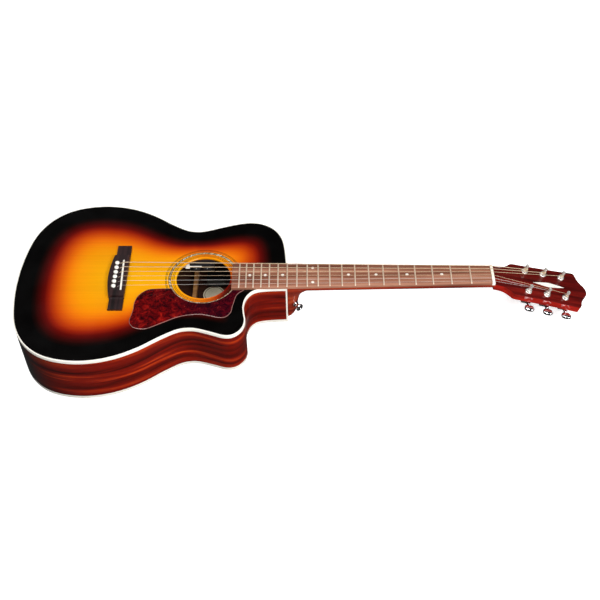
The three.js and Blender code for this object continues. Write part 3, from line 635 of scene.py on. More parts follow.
def makeLight():
    for name, lamp in lamps.items():
        data = bpy.data.lights.new(name, "AREA")
        data.shape = "RECTANGLE"
        data.size, data.size_y = lamp["size"]
        data.energy = lamp["power"]
        made = addObject(name, data)
        made.location = lamp["spot"]
        aim = Vector((0, 0, 0.05)) - made.location
        made.rotation_euler = aim.to_track_quat("-Z", "Y").to_euler()
    studio = bpy.data.worlds.new("studio")
    bpy.context.scene.world = studio
    studio.use_nodes = True
    tree = studio.node_tree
    rays = addNode(tree, "LightPath").outputs
    ambient = remap(tree, rays["Is Glossy Ray"], 0.0, 1.0, world["diffuse"], world["glossy"])
    strength = maths(tree, "MAXIMUM", rays["Is Camera Ray"], ambient)
    tree.nodes["Background"].inputs["Color"].default_value = grey(1.0)
    tree.links.new(strength, tree.nodes["Background"].inputs["Strength"])
    bpy.context.scene.view_settings.view_transform = "Standard"


floor = {"reach": 30.0, "drop": 0.0003, "bounce": 0.6, "glossy": 0.045, "glow": 0.62}


def makeFloor():
    reach = floor["reach"]
    corners = rectangle(-reach, -reach, reach, reach)
    mesh = bpy.data.meshes.new("studioFloor")
    mesh.from_pydata([(x, y, -floor["drop"]) for x, y in corners], [], [(0, 1, 2, 3)])
    made = addObject("studioFloor", mesh)
    material, tree, principled = newFinish("floorPaint", {"Roughness": 0.9, "Specular IOR Level": 0.1})
    shade = addRamp(tree, noise(tree, objectSpace(tree), 2.0, 3.0), [(0.3, grey(0.9)), (0.7, grey(0.93))])
    rays = addNode(tree, "LightPath").outputs
    seen = rays["Is Camera Ray"]
    pale = maths(tree, "MAXIMUM", seen, maths(tree, "MULTIPLY", rays["Is Diffuse Ray"], floor["bounce"]))
    tree.links.new(mixColour(tree, pale, grey(floor["glossy"]), shade), principled.inputs["Base Color"])
    principled.inputs["Emission Color"].default_value = grey(1.0)
    tree.links.new(maths(tree, "MULTIPLY", seen, floor["glow"]), principled.inputs["Emission Strength"])
    mesh.materials.append(material)


makeCamera()
makeLight()
makeFloor()
print("camera, light and floor made")

# ---- body
bodyShape = {
    # half outline from the neck to the tail as (x, half width)
    "half": [
        (-0.5, 30), (-4, 73), (-11, 101), (-25, 122), (-46, 135.3), (-70, 139.4), (-97, 135.2),
        (-126, 126.4), (-152, 118.3), (-169, 116.9), (-187, 121), (-214, 136.3), (-246, 157.6),
        (-278, 173.5), (-312, 183.2), (-348, 186.3), (-384, 181.6), (-414, 170), (-439, 150),
        (-457, 124), (-468.5, 94), (-475.5, 56), (-478.6, 22),
    ],
    "firstMirrored": 7,  # the treble side follows the half outline from here to the tail
    "cutaway": [
        (-108, -132.4), (-94, -132.5), (-82, -125.8), (-73.5, -114), (-70.4, -99), (-72.6, -84),
        (-74.3, -68), (-71.8, -52), (-65, -39), (-54, -31), (-36, -27.8), (-15, -26.8), (0, -26.6),
    ],
    "length": 479,
    "rimAtNeck": -90,
    "rimSlope": 16 / 479,
    "sideThickness": 2.6,
    "plate": 3.0,
    "bindingWidth": 2.3,
    "bindingHeight": 6.3,
    "bindingSoft": 0.7,
    "strip": 5.0,
    "boardShift": 37.0,
    "arch": 3.0,
    "archStart": 0.6,  # share of the way from the middle to the rim
    "archPower": 2.3,
    "archCentre": (-250, 0),
    "points": 560,
}


def rimZ(x):
    return bodyShape["rimAtNeck"] + bodyShape["rimSlope"] * x


def makeOutline():
    half = bodyShape["half"]
    mirrored = [(x, -y) for x, y in half[bodyShape["firstMirrored"]:][::-1]]
    knots = [(0, 0), *half, (-bodyShape["length"], 0), *mirrored, *bodyShape["cutaway"]]
    curve = evenly(smoothCurve(knots, 4000), bodyShape["points"])
    closing = np.linspace(curve[-1], curve[0], 10)[1:-1]
    return np.vstack([curve, closing])


outline = makeOutline()
curvePoints = bodyShape["points"]
tailIndex = int(outline[:, 0].argmin())
outlineLength = travelled(outline)

holeCentre = middle("rosette")[:2]
hole = {"radius": 48.0, "lip": 0.5}


def edgeDistance(points):
    # distance to the outline with its corners softened: the summed inverse sixth powers of the gaps
    # to evenly spaced rim points, turned back into a length so that beside a straight rim it is exact
    gaps = ((points[:, None, :2] - outline[None]) ** 2).sum(axis=2) + 0.01
    spacing = outlineLength[-1] / (len(outline) - 1)
    straightRim = 3 * np.pi / 8  # the same sum one unit away from an endless straight rim
    return ((gaps ** -3).sum(axis=1) * spacing / straightRim) ** -0.2


def burstAt(points):
    share = np.interp(points[:, 0], *burst["shareAt"])
    return np.clip(edgeDistance(points) / (burst["reach"] * share), 0, 1)


def bandOfBody(insetsAndHeights, indices=None):
    # closed strip with the given (inset, height) section carried along the outline
    rows = []
    for distance, height in insetsAndHeights:
        ring = inset(outline, distance)
        lift = height(ring[:, 0]) if callable(height) else height
        rows.append(np.column_stack([ring, ring[:, 0] * 0 + lift]))
    grid = np.stack(rows, axis=1)
    return grid if indices is None else grid[indices]


def makeSoundboard():
    plate = bodyShape["plate"]
    edge = inset(outline, bodyShape["bindingWidth"])
    out = edge - holeCentre
    rim = holeCentre + out / np.linalg.norm(out, axis=1)[:, None] * hole["radius"]
    share = np.linspace(0, 1, 46) ** 0.9
    top = rim[None] + share[:, None, None] * (edge - rim)[None]
    lip = hole["lip"]
    inward = (rim - holeCentre) / hole["radius"]

    def level(plan, height):
        return np.concatenate([plan, np.full((*plan.shape[:2], 1), height)], axis=2)

    upper = level(top, 0.0)
    upper[0, :, :2] += inward * lip
    lower = level(top[::5][::-1], -plate)
    wall = [level(rim[None], -depth) for depth in (plate, lip)]
    grid = np.concatenate([upper, level(edge[None], -plate), lower[:-1], *wall])
    made = shell(grid, wrapRows=True)
    makePiece("top_plate", [made], burstLacquer, "top_lacquer", replaces=["soundboard"],
              values={"burst": burstAt(made["points"])}, inner=bareSpruce,
              innerSide=lambda centre, normal: normal[:, 2] < -0.5)


def makeBindings():
    width, height = bodyShape["bindingWidth"], bodyShape["bindingHeight"]
    soft = bodyShape["bindingSoft"]
    corner = [(soft * (1 - math.sin(a)), -soft * (1 - math.cos(a))) for a in np.radians([0, 30, 60, 90])]
    top = [(width, 0.0), *corner, (0.0, -height), (width, -height)]
    makePiece("binding_top", [shell(bandOfBody(top), wrapRows=True)], ivoryPlastic, "ivory_plastic",
              replaces=["top_binding"])
    low = [(width, rimZ)] + [(d, lambda x, h=h: rimZ(x) - h) for d, h in corner]
    low += [(0.0, lambda x: rimZ(x) + height), (width, lambda x: rimZ(x) + height)]
    makePiece("binding_back", [shell(bandOfBody(low), wrapRows=True)], ivoryPlastic, "ivory_plastic",
              replaces=["back_binding"])


def sideGrid(indices):
    thickness, height = bodyShape["sideThickness"], bodyShape["bindingHeight"]
    levels = np.linspace(0, 1, 9)
    outer = [(0.0, lambda x, t=t: -height + t * (rimZ(x) + 2 * height)) for t in levels]
    inner = [(thickness, lambda x, t=t: -height + t * (rimZ(x) + 2 * height)) for t in levels[::-1]]
    return bandOfBody(outer + inner, indices)


def makeSides():
    strip = [k for k in range(curvePoints - 60, curvePoints) if outline[k, 0] > -bodyShape["strip"]]
    lengthwise = {"bass": slice(0, tailIndex + 1), "treble": slice(tailIndex, strip[0] + 1)}
    for name, stretch in lengthwise.items():
        grid = sideGrid(stretch)
        made = shell(grid, ends=True)
        points = made["points"]
        along = np.repeat(outlineLength[stretch], grid.shape[1])
        if name == "treble":
            # the board runs the same way as the bass side's, from another part of the log
            along = 2 * outlineLength[tailIndex] - along + bodyShape["boardShift"]
        grain = np.column_stack([along, along * 0, points[:, 2]]) / 1000
        # the sides carry the tail's painted shade as a point value
        makePiece(f"{name}_side", [made], sideLacquer, "side_lacquer", replaces=[f"side_{name}"],
                  grain=grain, values={"paintedTailShade": paintedTailShade(points)}, inner=bareMahoganyInPaintedShade,
                  innerSide=insideBody)
    makePiece("cutaway_end_strip", [shell(sideGrid([*strip, curvePoints]), ends=True)], ivoryPlastic,
              "ivory_plastic", replaces=["cutaway_strip"])
    front = sideGrid([*range(curvePoints, len(outline)), 0])
    makePiece("side_front", [shell(front, ends=True)], sideLacquer, "side_lacquer")


# painted shade at the tail: where it starts, how far it reaches, how dark it gets and how it ramps
darkTail = {"start": -338.0, "reach": 105.0, "depth": 0.96, "power": 1.5}


def paintedTailShade(points):  # painted shade: the sides darken towards near black over the last stretch before the tail, standing in for the shadow there
    share = np.clip((darkTail["start"] - points[:, 0]) / darkTail["reach"], 0, 1)
    return darkTail["depth"] * share ** darkTail["power"]


def insideBody(centre, normal):  # faces that look towards the middle of the outline
    gaps = ((centre[:, None, :2] - outline[None, ::3]) ** 2).sum(axis=2)
    nearest = outline[::3][gaps.argmin(axis=1)]
    inward = inset(outline, 1.0)[::3][gaps.argmin(axis=1)] - nearest
    return (normal[:, :2] * inward).sum(axis=1) > 0.5


def backDrop(scale):
    # level in the middle, then up to the rim along a power curve
    start = bodyShape["archStart"]
    rise = np.clip((scale - start) / (1 - start), 0, 1) ** bodyShape["archPower"]
    return bodyShape["arch"] * (1 - rise)


def makeBack():
    edge = inset(outline, bodyShape["bindingWidth"])
    centre = np.array(bodyShape["archCentre"], float)
    start = bodyShape["archStart"]
    scales = np.concatenate([np.linspace(0, start, 8), np.linspace(start, 1, 18)[1:]])

    def level(lift, order):
        plan = centre + scales[order][:, None, None] * (edge - centre)[None]
        height = rimZ(plan[..., 0]) - backDrop(scales[order])[:, None] + lift
        return np.concatenate([plan, height[..., None]], axis=2)

    grid = np.concatenate([level(0.0, slice(None)), level(bodyShape["plate"], slice(None, None, -1))])
    makePiece("back_panel", [shell(grid)], backLacquer, "side_lacquer", replaces=["back_plate"],
              inner=bareMahoganyInPaintedShade, innerSide=lambda centre, normal: normal[:, 2] > 0.5)


rosette = {
    "lines": [51.9, 54.3, 57.4, 61.7, 65.3, 67.3],
    "lineWidth": 0.75,
    "mosaic": (58.2, 61.7),
    "proud": 0.06,
}


def ringBand(inner, outer, proud):
    section = [(inner, -0.4), (inner, proud * 0.5), (inner + 0.1, proud), (outer - 0.1, proud),
               (outer, proud * 0.5), (outer, -0.4)]
    grid = turned(section, 200)
    grid[..., :2] += holeCentre
    return grid


def makeRosette():
    inner, outer = rosette["mosaic"]
    grid = ringBand(inner, outer, rosette["proud"])
    made = shell(grid, wrapRows=True)
    offset = made["points"][:, :2] - holeCentre
    turn = np.arctan2(offset[:, 1], offset[:, 0])
    radius = np.linalg.norm(offset, axis=1)
    grain = np.column_stack([turn * 60, radius, radius * 0]) / 1000
    makePiece("rosette_mosaic", [made], rosetteMosaic, "pearl", replaces=["rosette"], grain=grain)
    lines = [shell(ringBand(r, r + rosette["lineWidth"], rosette["proud"] + 0.01), wrapRows=True)
             for r in rosette["lines"]]
    makePiece("rosette_lines", lines, darkLine, "pearl")


pickguard = {
    "outline": [
        (-218, -25.6), (-231.5, -26.2), (-243.6, -28), (-253.3, -35), (-260.9, -45.4), (-264.5, -59.2),
        (-264.7, -73), (-266.5, -86.4), (-268.6, -97.6), (-266.7, -106.4), (-259.8, -114.2),
        (-249.3, -117.5), (-235.8, -116.5), (-210, -103.5), (-182.2, -90.3), (-148.3, -86),
        (-111.9, -93.6), (-97, -84), (-92.8, -64.9), (-87, -41.9), (-75, -30.4),
    ],
    "holeRadius": 60.0,
    "holeArc": (math.atan2(-29.6, 52.2), math.atan2(-25.6, -54.3)),  # from its front end to its back end
    "low": 0.1,
    "high": 1.3,
    "bevel": 0.8,
}


def makePickguard():
    edge = evenly(smoothCurve(pickguard["outline"], 1200), 200)
    angles = np.linspace(*pickguard["holeArc"], 80)
    arc = holeCentre + pickguard["holeRadius"] * np.column_stack([np.cos(angles), np.sin(angles)])
    closed = np.vstack([edge, arc])
    high, bevel = pickguard["high"], pickguard["bevel"]
    rings = [(0, pickguard["low"]), (0, high - bevel * 0.6), (0.12, high - bevel * 0.4),
             (bevel, high - 0.06), (bevel + 0.25, high)]
    grid = slab(closed, rings)
    # how strongly each ring of the bevel takes the painted highlight
    rim = np.repeat([0.2, 0.5, 1.0, 1.0, 0.0], len(closed))
    makePiece("pickguard_sheet", [shell(grid, ends=True)], tortoiseSheet, "tortoise",
              replaces=["pickguard"], values={"rim": rim}, sharp=28)


makeSoundboard()
makeBindings()
makeSides()
makeBack()
makeRosette()
makePickguard()
print("body made")

# ---- bridge
bridge = {
    "front": -283.3, "halfLength": 76.0, "back": -308.4, "belly": 7.3, "bellyReach": 54.0,
    "wing": 4.2, "height": 9.2, "flat": 48.4, "ramp": 50.2, "edge": 0.8, "low": 0.05,
    "bore": 2.9, "countersink": 3.5,  # radii of a pin's hole and of its mouth
    "slot": (1.0, -0.8, 7.2, 0.8), "slotLow": 5.0, "slotHigh": 12.0,  # the string's way out of the hole
}


def makeBridge():
    # a rounded rectangle section carried across the body: its depth follows the belly, and its
    # height falls to the wings along a cubic ease
    y = np.linspace(-bridge["halfLength"], bridge["halfLength"], 305)
    belly = np.clip(1 - (y / bridge["bellyReach"]) ** 2, 0, 1) * bridge["belly"]
    back = bridge["back"] - belly
    rise = np.clip((bridge["ramp"] - np.abs(y)) / (bridge["ramp"] - bridge["flat"]), 0, 1)
    rise = rise * rise * (3 - 2 * rise)
    top = bridge["wing"] + (bridge["height"] - bridge["wing"]) * rise
    soft = bridge["edge"]
    turn = np.radians(np.linspace(0, 90, 5))
    corner = np.column_stack([-soft + soft * np.cos(turn), -soft + soft * np.sin(turn)])
    section = [(bridge["front"] + dx, top + dz) for dx, dz in corner]
    section += [(back - dx, top + dz) for dx, dz in corner[::-1]]
    section += [(back, bridge["low"]), (bridge["front"], bridge["low"])]
    piece = makePiece("bridge_block", [shell(crossed(y, section), ends=True)], bridgeWood,
                      "dark_rosewood", replaces=["bridge"])
    shank, neckOfPin, above = bridge["bore"], bridge["countersink"], bridge["height"] + 4.8
    bore = [(0, 1.0), (shank, 1.0), (shank, bridge["height"] - 0.4), (neckOfPin, bridge["height"] + 0.2),
            (neckOfPin, above), (0, above)]
    cutters = []
    for number in range(1, 7):
        x, y = middle(f"bridge_pin_{number}")[:2]
        cutters.append(lathe(bore, 28, (x, y, 0)))
        slot = rounded(rectangle(*bridge["slot"]), 0.3) + [x, y]
        cutters.append(shell(slab(slot, [(0, bridge["slotLow"]), (0, bridge["slotHigh"])]), ends=True))
    tool = makePiece("bridge_cutter", cutters, bridgeWood, "dark_rosewood")
    cut = piece.modifiers.new("holes", "BOOLEAN")
    cut.operation, cut.solver, cut.object = "DIFFERENCE", "EXACT", tool
    cut.use_self = True
    applyModifier(piece, cut)
    bpy.data.objects.remove(tool)
    shadeSharp(piece.data, 35)


def applyModifier(piece, modifier):
    with bpy.context.temp_override(object=piece, active_object=piece, selected_objects=[piece]):
        bpy.ops.object.modifier_apply(modifier=modifier.name)


saddle = {
    "thickness": 3.0, "low": 5.0, "crown": 0.9, "slant": 2.6 / 72, "endGap": 0.2, "endRound": 2.0,
    "proud": 0.15, "bow": 0.5, "endFall": 1.6,
}


def makeSaddle():
    low, high = span("saddle")
    halfLength = (high[1] - low[1]) / 2 - saddle["endGap"]
    y = np.linspace(-halfLength, halfLength, 40)
    past = np.clip((np.abs(y) - halfLength + saddle["endRound"]) / saddle["endRound"], 0, 1)
    ends = np.sqrt(np.clip(1 - past ** 2, 0.02, 1))
    bow = (y / halfLength) ** 2 * saddle["bow"]
    top = high[2] + saddle["proud"] - bow - (1 - ends) * saddle["endFall"]
    crown, half = saddle["crown"], saddle["thickness"] / 2
    centre = (low[0] + high[0]) / 2 - y * saddle["slant"]
    steps = [(-half, -crown), (-half * 0.6, -0.25), (0, 0), (half * 0.6, -0.25), (half, -crown)]
    section = [(centre - half, saddle["low"]), *[(centre + dx, top + dz) for dx, dz in steps],
               (centre + half, saddle["low"])]
    makePiece("saddle_bone", [shell(crossed(y, section), ends=True)], boneWhite, "ivory_plastic",
              replaces=["saddle"], sharp=50)


pin = {"head": 3.9, "headLow": 0.25, "headHigh": 2.0, "dome": 4.3, "shank": 2.7, "tip": 2.1,
       "depth": -11.0}


def makePins():
    height, head, low, deep = bridge["height"], pin["head"], pin["headLow"], pin["depth"]
    angle = np.radians(np.linspace(0, 90, 9))
    rise = pin["dome"] - pin["headHigh"]
    dome = np.column_stack([head * np.cos(angle), height + pin["headHigh"] + rise * np.sin(angle)])
    profile = [(0, deep), (pin["tip"] * 0.7, deep), (pin["tip"], deep + 0.6),
               (pin["shank"], height - 0.4),
               (pin["shank"], height + low), (head * 0.93, height + low), (head, height + low + 0.4),
               *dome]
    for number in range(1, 7):
        node = f"bridge_pin_{number}"
        x, y = middle(node)[:2]
        makePiece(f"pin_{number}", [lathe(profile, 28, (x, y, 0))], ivoryPlastic, "ivory_plastic",
                  body=node, replaces=[node])


makeBridge()
makeSaddle()
makePins()
print("bridge made")

# ---- neck, fingerboard and nut
boardLow = span("fingerboard")[0]
nutLow, nutHigh = span("nut")
neck = {
    "scale": 648.0, "joinFret": 14, "frets": 20, "nutHalf": 21.5, "joinHalf": 27.35,
    "boardTop": 6.3, "radius": 400.0, "fretHeight": 1.1, "fretHalf": 1.15,
    "gap": 0.3, "end": 384.0, "inset": 0.15,
    "wall": 0.12,  # share of the depth that is upright below the fingerboard
    "heelFoot": (0.55, 0.55, 1), "heelFootDrop": 0.5,
    "depths": [(0.3, 17.5), (60, 17.5), (140, 17.2), (240, 16.4), (335, 15.5)],
    "heel": [  # (height, half width, length along the neck)
        (-0.5, 27.2, 60), (-9, 26.6, 57), (-17, 25.5, 42), (-26, 23.5, 29.5), (-38, 21, 22.8),
        (-55, 18.8, 19), (-70, 17.4, 17.3), (-80, 16.4, 15), (-86, 15.5, 10.8), (-88.6, 14.5, 5),
    ],
}


def fretX(fret):
    return neck["scale"] * (2 ** (-fret / 12) - 2 ** (-neck["joinFret"] / 12))


nutEdge = fretX(0)


def boardHalf(x):
    return neck["nutHalf"] + (nutEdge - x) * (neck["joinHalf"] - neck["nutHalf"]) / nutEdge


def boardSurface(y):
    return neck["boardTop"] - np.asarray(y) ** 2 / (2 * neck["radius"])


def makeShaft():
    table = np.array(neck["depths"], float)
    x = np.concatenate([np.linspace(neck["gap"], nutEdge, 60), np.linspace(nutEdge, neck["end"], 14)[1:]])
    depth = np.interp(x, table[:, 0], table[:, 1])
    half = np.where(x > nutEdge, neck["nutHalf"], boardHalf(x)) - neck["inset"]
    past = np.clip(x - headFrame["start"], 0, None)
    top = np.where(past > 0, -past * math.tan(headFrame["angle"]) - 1, 0.0)
    angle = np.pi + np.linspace(0, np.pi, 28)
    across = np.concatenate([[-1], np.cos(angle), [1]])
    wall = neck["wall"]
    down = np.concatenate([[0], -wall + (1 - wall) * np.sin(angle), [0]])
    grid = gridOf(x[:, None], half[:, None] * across, top[:, None] + down * (depth + top)[:, None])
    makePiece("neck_shaft", [shell(grid, ends=True)], neckLacquer, "neck_lacquer", replaces=["neck"],
              sharp=40)


def makeHeel():
    table = smoothCurve(neck["heel"], 60)
    angle = np.linspace(np.pi / 2, -np.pi / 2, 33)
    out = np.clip(np.cos(angle), 0, 1) ** 0.9
    z, half, length = table.T
    gap = neck["gap"]
    grid = gridOf(gap + out * (length - gap)[:, None], half[:, None] * np.sin(angle), z[:, None])
    bottom = grid[-1:] * neck["heelFoot"] - [0, 0, neck["heelFootDrop"]]
    makePiece("neck_heel", [shell(np.concatenate([grid, bottom]), ends=True)], neckLacquer,
              "neck_lacquer", sharp=50)


def makeFingerboard():
    x = np.linspace(boardLow[0], nutEdge - 0.15, 120)
    half = boardHalf(x)
    across = np.linspace(-1, 1, 21)
    corner = 0.35
    y = np.clip(half[:, None] * across, -(half - corner)[:, None], (half - corner)[:, None])
    upper = gridOf(x[:, None], y, boardSurface(y))
    high, low = boardSurface(half) - corner, 0.05
    rims = [gridOf(x[:, None], (side * half)[:, None], (half * 0 + level)[:, None])
            for side, level in ((1, high), (1, low), (-1, low), (-1, high))]
    grid = np.concatenate([upper, *rims], axis=1)
    makePiece("fretboard", [shell(grid, ends=True)], fretboardWood, "rosewood", replaces=["fingerboard"],
              sharp=30)


def makeFrets():
    dx, dz = np.array([(-1, -0.6), (-1, 0.0), (-0.85, 0.5), (-0.45, 0.9), (0, 1), (0.45, 0.9),
                       (0.85, 0.5), (1, 0.0), (1, -0.6)]).T
    for number in range(1, neck["frets"] + 1):
        x = fretX(number)
        reach = boardHalf(x) - 0.05
        y = reach * np.sin(np.linspace(-np.pi / 2, np.pi / 2, 25))[:, None]
        fall = np.clip(reach - np.abs(y), 0, 1) ** 0.5
        height = np.where(dz > 0, dz * neck["fretHeight"] * fall, dz)
        grid = gridOf(x + dx * neck["fretHalf"], y, boardSurface(y) + height)
        makePiece(f"fret_{number:02d}", [shell(grid, ends=True)], nickelFret, "steel", sharp=60)


dots = {
    "frets": [3, 5, 7, 9, 12, 12, 15, 17, 19], "sides": [0, 0, 0, 0, -1, 1, 0, 0, 0], "offset": 17.0,
    "radius": 2.7, "deep": 0.6, "proud": 0.05, "bevel": 0.1,
}


def makeDots():
    radius, shells = dots["radius"], []
    for fret, side in zip(dots["frets"], dots["sides"]):
        # heights in the profile count from the board's surface
        grid = turned([(0, -dots["deep"]), (radius, -dots["deep"]), (radius, 0.0),
                       (radius - dots["bevel"], dots["proud"]), (0, dots["proud"])], 24)
        grid[..., :2] += (fretX(fret) + fretX(fret - 1)) / 2, side * dots["offset"]
        grid[..., 2] += boardSurface(grid[..., 1])
        shells.append(shell(grid))
    makePiece("position_dots", shells, pearlDot, "pearl")


nut = {"shoulder": 8.25, "backFall": 1.6, "slotGap": 0.12, "slotFlare": 0.25, "slotRise": 0.2}
strings = {
    "diameters": [0.3, 0.4, 0.6, 0.8, 1.07, 1.35],
    "nutSpacing": 7.2, "saddleSpacing": 11.0, "nutHeight": 7.6, "saddleHeight": 11.8, "winding": 8.0,
    "bend": 1.6, "plainTurns": 4.5, "woundTurns": 3.0,
}


def makeNut():
    half = (nutHigh[1] - nutLow[1]) / 2 + 0.2
    y = np.linspace(-half, half, 420)
    top = nut["shoulder"] - (y / half) ** 2 * 0.5
    slotFloor = strings["nutHeight"] + 0.05
    for k, diameter in enumerate(strings["diameters"]):
        off = np.abs(y - (k - 2.5) * strings["nutSpacing"])
        wide = diameter / 2 + nut["slotGap"]
        flared = np.minimum(top, slotFloor + nut["slotRise"])
        top = np.where(off < wide, slotFloor, np.where(off < wide + nut["slotFlare"], flared, top))
    ends = np.clip((half - np.abs(y)) / 0.5, 0, 1)
    top = top - 0.5 * (1 - np.sqrt(ends))
    front, back, fall = nutEdge + 0.05, nutHigh[0] + 0.1, nut["backFall"]
    section = [(front, 0.1), (front, top - 0.3), (front + 0.3, top),
               (front + (back - front) * 0.45, top - 0.1), (back - 0.4, top - fall),
               (back, top - fall - 0.4), (back, 0.1)]
    makePiece("nut_bone", [shell(crossed(y, section), ends=True)], boneWhite, "ivory_plastic",
              replaces=["nut"], sharp=40)


# the head's face: s along it from the nut, w out of it
headShape = {
    "half": [
        (0, 21.8), (12, 22.4), (20, 24.6), (27, 29), (33, 34), (39, 36.4), (62, 36.8), (100, 37.8),
        (138, 39.4), (155, 40.6), (158.5, 39.8), (160.7, 36.4), (162, 31.5), (163.8, 25.5), (166.5, 20.3),
        (170.5, 15.2), (174.2, 10.3), (176.6, 4.6),
    ],
    "tip": 177.3, "veneer": 1.5, "joint": 0.02, "thickness": 14.3, "bevel": 0.7,
}
knobAxis = np.array(joints["post_turn_1"]["axis"]) @ tipped
headFrame = {"angle": math.atan2(knobAxis[0], knobAxis[2]), "start": 365.25, "lift": 3.0}
headAxes = np.array([
    [math.cos(headFrame["angle"]), 0, -math.sin(headFrame["angle"])],
    [0, 1, 0],
    [math.sin(headFrame["angle"]), 0, math.cos(headFrame["angle"])],
])
headOrigin = np.array([headFrame["start"], 0, headFrame["lift"]])


def onHead(grid):
    return moved(grid, headOrigin, headAxes)


def headGrain(points):
    return (points - headOrigin) @ headAxes.T / 1000


def makeHead():
    half = smoothCurve(headShape["half"], 150)
    tip = np.array([[headShape["tip"], 0]])
    closed = np.vstack([half * [1, -1], tip, half[::-1]])
    veneer = headShape["veneer"]
    woodTop = -veneer - headShape["joint"]
    rings = bevelled(-headShape["thickness"], woodTop, headShape["bevel"])[:4]
    wood = shell(onHead(slab(closed, [*rings, (0, woodTop)])), ends=True)
    makePiece("head_block", [wood], headSideLacquer, "neck_lacquer", grain=headGrain(wood["points"]),
              sharp=40)
    rings = [(0, -veneer), (0, -0.3), (0.12, -0.1), (0.35, 0)]
    face = shell(onHead(slab(closed, rings)), ends=True)
    makePiece("head_face", [face], headVeneer, "head_lacquer", replaces=["headstock_veneer"],
              grain=headGrain(face["points"]), sharp=28)


inlay = {"middle": 104.0, "halfLength": 30.0, "halfWidth": 5.4, "proud": 0.05}


def makeInlay():  # a plain slim lozenge with hollow sides
    angle = np.linspace(0, 2 * np.pi, 64, endpoint=False)
    shape = np.column_stack([np.sign(np.cos(angle)) * np.abs(np.cos(angle)) ** 1.8 * inlay["halfLength"],
                             np.sign(np.sin(angle)) * np.abs(np.sin(angle)) ** 1.8 * inlay["halfWidth"]])
    shape[:, 0] += inlay["middle"]
    levels = [np.column_stack([shape, np.full(64, h)]) for h in (-0.5, inlay["proud"])]
    makePiece("head_inlay", [shell(onHead(np.stack(levels)), ends=True)], pearlDot, "pearl")


makeShaft()
makeHeel()
makeFingerboard()
makeFrets()
makeDots()
makeNut()
makeHead()
makeInlay()
print("neck made")

# ---- tuners
tuner = {
    "postLow": -20.0, "postTop": 16.0, "postRadius": 3.0, "waist": 2.45, "washer": 6.0, "bushing": 4.9,
    "caseOutline": (-6.2, -8.5, 10.4, 8.5), "housingLow": -24.0, "housingHigh": -14.55,
    "knobAxes": (9.5, 6.5, 4.0), "knobPower": 0.72,
}


def postSpot(number):  # (s, y) of a post on the head's face
    point = fromFrame(joints[f"post_turn_{number}"]["pos_m"]) - headOrigin
    return (point @ headAxes.T)[:2]


def localAxes(side):  # a tuner's own axes: along the head, outwards to its side, out of the face
    return np.array([headAxes[0], [0, side, 0], headAxes[2]])


def makePost(number, origin, axes):
    r, waist, low, top = (tuner[key] for key in ("postRadius", "waist", "postLow", "postTop"))
    profile = [(0, low), (4, low), (4, low + 3), (r, low + 3), (r, 5.6), (r - 0.15, 6.0),
               (waist + 0.1, 6.6), (waist, 7.4), (waist, 9.6), (waist + 0.1, 10.4), (r - 0.15, 11.0),
               (r, 11.4), (r, top - 0.8), (r - 0.25, top - 0.25), (r - 0.8, top), (1.2, top),
               (0.9, top - 0.35), (0, top - 0.35)]
    node = f"tuner_post_{number}"
    makePiece(f"post_{number}", [lathe(profile, 32, origin, axes)], postNickel, "chrome", body=node,
              replaces=[node])


def makeBushing(number, origin, axes):
    hole, washer, bushing = tuner["postRadius"] + 0.15, tuner["washer"], tuner["bushing"]
    collar = np.array([
        (hole, -1.4), (bushing - 0.5, -1.4), (bushing - 0.5, 0.02), (washer - 0.15, 0.02), (washer, 0.2),
        (washer, 0.55), (washer - 0.3, 0.8), (bushing + 0.1, 0.85), (bushing, 1.1), (bushing, 3.2),
        (bushing - 0.5, 3.9), (hole + 0.45, 4.2), (hole, 4.0),
    ])
    # above the washer the collar is a hexagon: each ring's radius is divided by the cosine of the
    # angle to the nearest flat
    angle = np.linspace(0, 2 * np.pi, 36, endpoint=False)
    hexagon = 1.1 * np.cos(np.pi / 6) / np.cos(np.mod(angle, np.pi / 3) - np.pi / 6)
    sixSided = (collar[:, 1] > 1.0) & (collar[:, 0] > bushing - 0.6)
    grid = turned(collar, 36)
    grid[sixSided, :, :2] *= hexagon[None, :, None]
    makePiece(f"bushing_{number}", [shell(moved(grid, origin, axes), wrapRows=True)], postNickel,
              "chrome")


